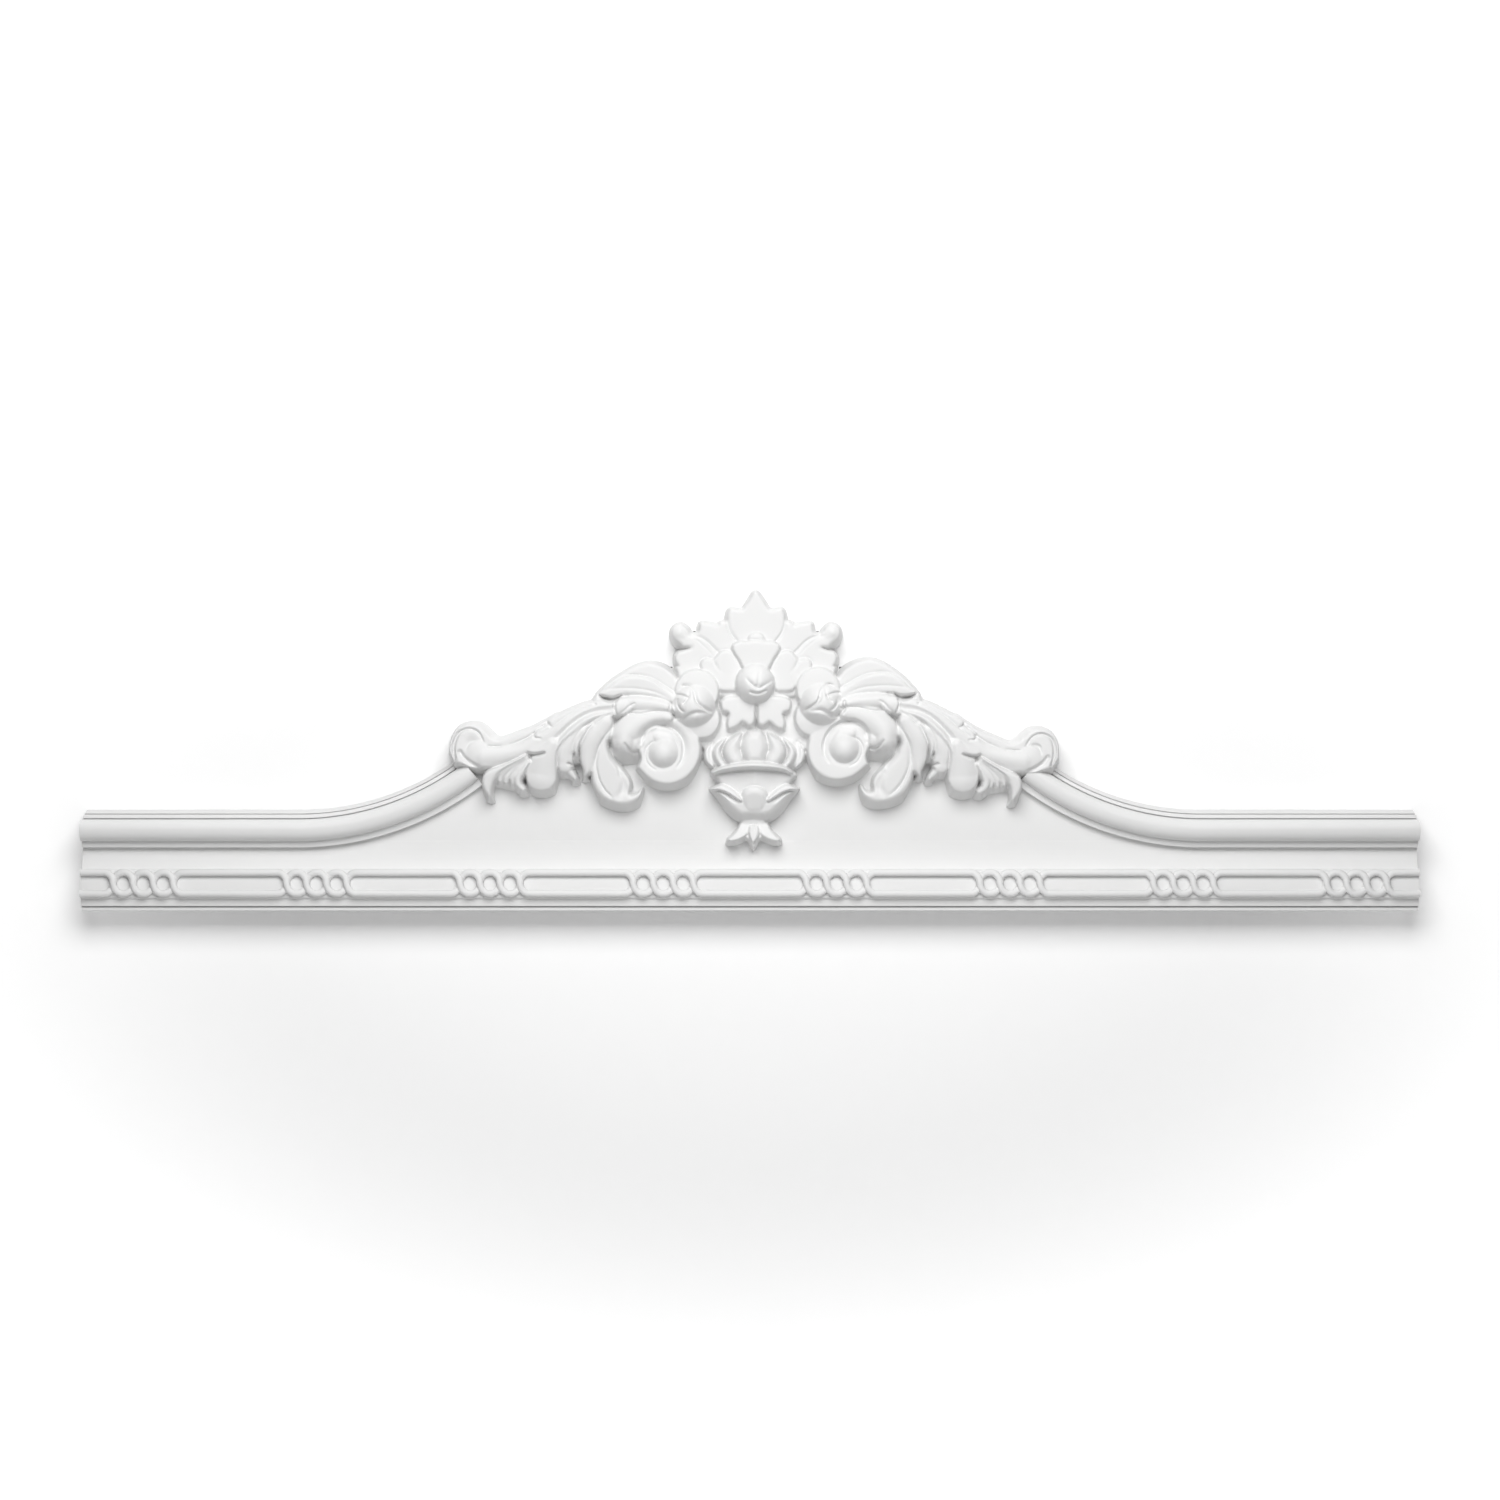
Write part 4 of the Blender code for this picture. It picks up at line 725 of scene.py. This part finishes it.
def rose(relief):
    """A rose in bud between the flower and the wing."""
    fold, groove = relief.fold, relief.groove
    fold([(54, 31)], 18.5, 44.5, 2.5, 2.8)
    fold([(58.5, 58.5)], 21.5, 47, 1.5, 4)
    groove([(61.5, 44.5)], 25, 2.5)
    fold([(61.5, 44.5)], 22, 45, 15.5, 4, 2.3)
    groove([(71.5, 63.5), (65.5, 62.5), (61, 57), (59.5, 50), (56, 44.5), (45.5, 38)], 1.5,
           [3, 2.6, 3.2, 4.6, 4.8, 3.4], 1)
    groove([(84.5, 47), (84.5, 39), (79.5, 33.5), (75.5, 32)], [1.5, 2.4, 2.2, 1.2], 5)
    groove([(79.5, 55), (73.5, 54.5), (67.5, 52)], [1.4, 1.8, 1.2], 4)
    groove([(77.5, 50), (77.5, 45), (74.5, 40), (71.5, 38)], 1.2, [2, 3, 4, 3])
    groove([(65.5, 60), (67, 52), (71.5, 46)], 1.4, [1.5, 3.4, 3])
    groove([(72.5, 31), (61.5, 37), (51.5, 37)], 2, [3, 3.2, 1.5], -1)


def carve():
    """All the carved forms, the ones behind first."""
    relief = Relief(SHEET_REACH, SHEET_FOOT, SHEET_HEAD, GRID_STEP)
    shell(relief)
    for relief.place in (relief.left, relief.right):
        wing(relief)
        scroll(relief)
    urn(relief)
    flower(relief)
    for relief.place in (relief.left, relief.right_rose):
        rose(relief)
    relief.heights = relief.blurred(SOFTNESS)
    return relief


def carved_crest():
    """The carving as one body: a fine grid raised to the relief, closed behind and cut off flat there."""
    relief = carve()
    rows, columns = relief.heights.shape
    bm = bmesh.new()
    bmesh.ops.create_grid(bm, x_segments=columns - 1, y_segments=rows - 1, size=1)
    across, up = np.meshgrid(relief.across, relief.up)
    level = UNDERSIDE + SHEET_LEVEL
    for vert, x, z, height in zip(bm.verts, across.flat, up.flat, relief.heights.flat):
        vert.co = (CARVING_SHIFT + x * SHEET_UNIT, -height * SHEET_UNIT, level + z * SHEET_UNIT)
    ground = [face for face in bm.faces if all(vert.co.y > GROUND_KEPT for vert in face.verts)]
    bmesh.ops.delete(bm, geom=ground, context="FACES")
    back = drawn_out(bm, list(bm.faces))
    for vert in verts_of(back):
        vert.co.y = SLAB_BACK
    bmesh.ops.triangulate(bm, faces=bm.faces)
    slab = new_object("slab", bm)
    bm = bmesh.new()
    middle = Matrix.Translation((0, -TRIM_SIZE / 2 - BACK_INSET, 0))
    bmesh.ops.create_cube(bm, size=TRIM_SIZE, matrix=middle)
    crest = joined(slab, new_object("front_space", bm), "INTERSECT", "crest", CREST_SHARP)
    triangles = sum(len(face.vertices) - 2 for face in crest.data.polygons)
    if triangles > CREST_TRIANGLES:
        crest.modifiers.new("thin", "DECIMATE").ratio = CREST_TRIANGLES / triangles
    return settled(crest, "carved_crest", CREST_SHARP)


# Finish

class Socket:
    """A node's output with arithmetic, so that shader maths reads as a formula."""

    def __init__(self, shader, output):
        self.shader, self.output = shader, output

    def maths(self, operation, first, second):
        return self.shader.node("ShaderNodeMath", {"operation": operation}, {0: first, 1: second})

    def __add__(self, other):
        return self.maths("ADD", self, other)

    def __sub__(self, other):
        return self.maths("SUBTRACT", self, other)

    def __rsub__(self, other):
        return self.maths("SUBTRACT", other, self)

    def __mul__(self, other):
        return self.maths("MULTIPLY", self, other)

    __radd__ = __add__
    __rmul__ = __mul__


class Shader:
    """One material and its nodes."""

    def __init__(self, name):
        self.material = bpy.data.materials.new(name)
        self.material.use_nodes = True
        self.tree = self.material.node_tree
        self.principled = self.tree.nodes["Principled BSDF"]
        self.surface = self.tree.nodes["Material Output"].inputs["Surface"]

    def node(self, kind, settings=None, inputs=None, output=0):
        """A node of a kind with its settings, then the values or links of its sockets."""
        made = self.tree.nodes.new(kind)
        for name, value in (settings or {}).items():
            setattr(made, name, value)
        self.feed(made, inputs or {})
        return Socket(self, made.outputs[output])

    def feed(self, made, inputs):
        """Links or sets a node's sockets."""
        for name, value in inputs.items():
            if isinstance(value, Socket):
                self.tree.links.new(value.output, made.inputs[name])
            else:
                made.inputs[name].default_value = value


def primer():
    """Matte white factory primer: an even coat with a fine sprayed grain and faint handling marks."""
    shader = Shader("matte_white_primer")
    place = shader.node("ShaderNodeTexCoord", output="Object")

    def noise(scale, detail=2.0, roughness=0.5):
        return shader.node("ShaderNodeTexNoise", {}, {"Vector": place, "Scale": scale, "Detail": detail,
                                                      "Roughness": roughness})

    broad = noise(5.0)
    clouds = noise(38.0, 4.0)
    grain = noise(900.0, 3.0, 0.6)
    peel = noise(230.0, 2.0)
    tone = 0.5 * broad + 0.3 * clouds + 0.2 * grain
    colour = shader.node("ShaderNodeMix", {"data_type": "RGBA"},
                         {"Factor": tone, "A": (0.73, 0.73, 0.727, 1), "B": (0.78, 0.78, 0.777, 1)}, "Result")
    bump = shader.node("ShaderNodeBump", {}, {"Strength": 0.35, "Distance": 0.00012,
                                              "Height": 0.6 * grain + 0.4 * peel})
    shader.feed(shader.principled, {
        "Base Color": colour,
        "Roughness": 0.52 + 0.16 * clouds,
        "Normal": bump,
        "Metallic": 0.0,
        "IOR": 1.45,
    })
    return shader.material


# Stage

def plain(name, colour):
    """A plain matte paint for the stage."""
    shader = Shader(name)
    shader.feed(shader.principled, {"Base Color": (*colour, 1), "Roughness": 0.9, "Specular IOR Level": 0.1})
    return shader


def painted_wall_glow(shader):
    """Paints a glow into the wall: emission from no lamp, weak next to the piece and growing away from it, so
    the paler wall away from the piece is painted light and the dimmer wall round it is painted shade.
    """
    place = shader.node("ShaderNodeTexCoord", output="Object")
    place = shader.node("ShaderNodeVectorMath", {"operation": "MULTIPLY"}, {0: place, 1: PAINTED_GLOW_STRETCH})
    far = shader.node("ShaderNodeVectorMath", {"operation": "LENGTH"}, {0: place}, "Value")
    glow = shader.node("ShaderNodeMapRange", {"interpolation_type": "SMOOTHSTEP"},
                       {"Value": far, **PAINTED_GLOW_RANGE})
    colour = shader.node("ShaderNodeCombineColor", {}, {"Red": glow, "Green": glow, "Blue": glow})
    shader.feed(shader.principled, {"Emission Color": colour, "Emission Strength": 1.0})


def one_sided(shader):
    """Lets the wall be looked through from behind, so that the piece's back can be seen."""
    back = shader.node("ShaderNodeNewGeometry", output="Backfacing")
    clear = shader.node("ShaderNodeBsdfTransparent")
    seen = shader.node("ShaderNodeMixShader", {}, {0: back, 1: Socket(shader, shader.principled.outputs[0]),
                                                   2: clear})
    shader.tree.links.new(seen.output, shader.surface)


def wall(pieces):
    """The wall behind the piece, open behind its flat back so that light reaches it from there."""
    solid = bmesh.new()
    for piece in pieces:
        solid.from_mesh(piece.data)
    tree = BVHTree.FromBMesh(solid)
    solid.free()
    columns, rows = (int(side / OPENING_CELL) for side in OPENING_FIELD)
    bm = bmesh.new()
    bmesh.ops.create_grid(bm, x_segments=columns, y_segments=rows, size=0.5)
    for vert in bm.verts:
        x, z = vert.co.x * OPENING_FIELD[0], vert.co.y * OPENING_FIELD[1] + OPENING_LEVEL
        if abs(vert.co.x) > GRID_RIM:
            x = math.copysign(WALL_REACH, x)
        if abs(vert.co.y) > GRID_RIM:
            z = WALL_REACH if z > 0 else FLOOR_LEVEL
        vert.co = (x, WALL_GAP, z)

    toward_front = Vector((0, -1, 0))

    def covered(point):
        """Whether the pieces stand in front of a point and of the wall just round it."""
        return all(
            tree.ray_cast(point + Vector((dx, PROBE_START, dz)), toward_front, PROBE_REACH)[0] is not None
            for dx in (-OPENING_INSET, OPENING_INSET) for dz in (-OPENING_INSET, OPENING_INSET)
        )

    hidden = [face for face in bm.faces if covered(face.calc_center_median())]
    bmesh.ops.delete(bm, geom=hidden, context="FACES")
    obj = new_object("wall", bm)
    if obj.data.polygons[0].normal.y > 0:
        obj.data.flip_normals()
    return obj


def floor():
    """The floor, well below the piece, from the wall out to the front."""
    bm = bmesh.new()
    bmesh.ops.create_grid(bm, x_segments=1, y_segments=1, size=WALL_REACH)
    bmesh.ops.translate(bm, verts=bm.verts, vec=(0, -WALL_REACH, FLOOR_LEVEL))
    return new_object("floor", bm)


def lamp(name, place, target, size, power):
    """A soft rectangular lamp that points at a target."""
    light = bpy.data.lights.new(name, "AREA")
    light.shape = "RECTANGLE"
    light.size, light.size_y = size
    light.energy = power
    obj = bpy.data.objects.new(name, light)
    obj.location = place
    obj.rotation_euler = (Vector(target) - Vector(place)).to_track_quat("-Z", "Y").to_euler()
    bpy.context.scene.collection.objects.link(obj)


def stage(pieces):
    """The wall with its painted glow, the floor, the lamps and a dim room round them."""
    paint = plain("wall_paint_and_painted_glow", (0.93, 0.93, 0.93))
    # Painted light: the wall glows by emission, less next to the piece
    painted_wall_glow(paint)
    one_sided(paint)
    backdrop = wall(pieces)
    backdrop.data.materials.append(paint.material)
    ground = floor()
    ground.data.materials.append(plain("floor_paint", (0.62, 0.62, 0.62)).material)
    lamp("soft_key", (0.0, -1.5, 1.15), (0.0, 0.0, 0.05), (1.4, 1.0), 31.5)
    lamp("front_fill", (0.0, -1.0, 0.2), (0.0, 0.0, 0.0), (1.6, 1.4), 3.4)
    lamp("back_light", (0.0, 1.6, 0.9), (0.0, 0.0, 0.05), (1.6, 1.0), 24)
    room = bpy.data.worlds.new("dim_room")
    room.use_nodes = True
    room.node_tree.nodes["Background"].inputs["Color"].default_value = (0.08, 0.08, 0.08, 1)
    bpy.context.scene.world = room
    bpy.context.scene.view_settings.view_transform = "Standard"


def camera():
    """The photograph's view: straight on, level with the middle of the crest."""
    data = bpy.data.cameras.new("camera")
    data.lens = CAMERA_LENS
    obj = bpy.data.objects.new("camera", data)
    obj.location = (CAMERA_SHIFT, -CAMERA_DISTANCE, CAMERA_LEVEL)
    obj.rotation_euler = (math.radians(90), 0, 0)
    bpy.context.scene.collection.objects.link(obj)
    bpy.context.scene.camera = obj


white = primer()
pieces = (moulded_board(), rail("band_rail_one", True), rail("band_rail_two", False), carved_crest())
for piece in pieces:
    on_root(piece, white)
stage(pieces)
camera()
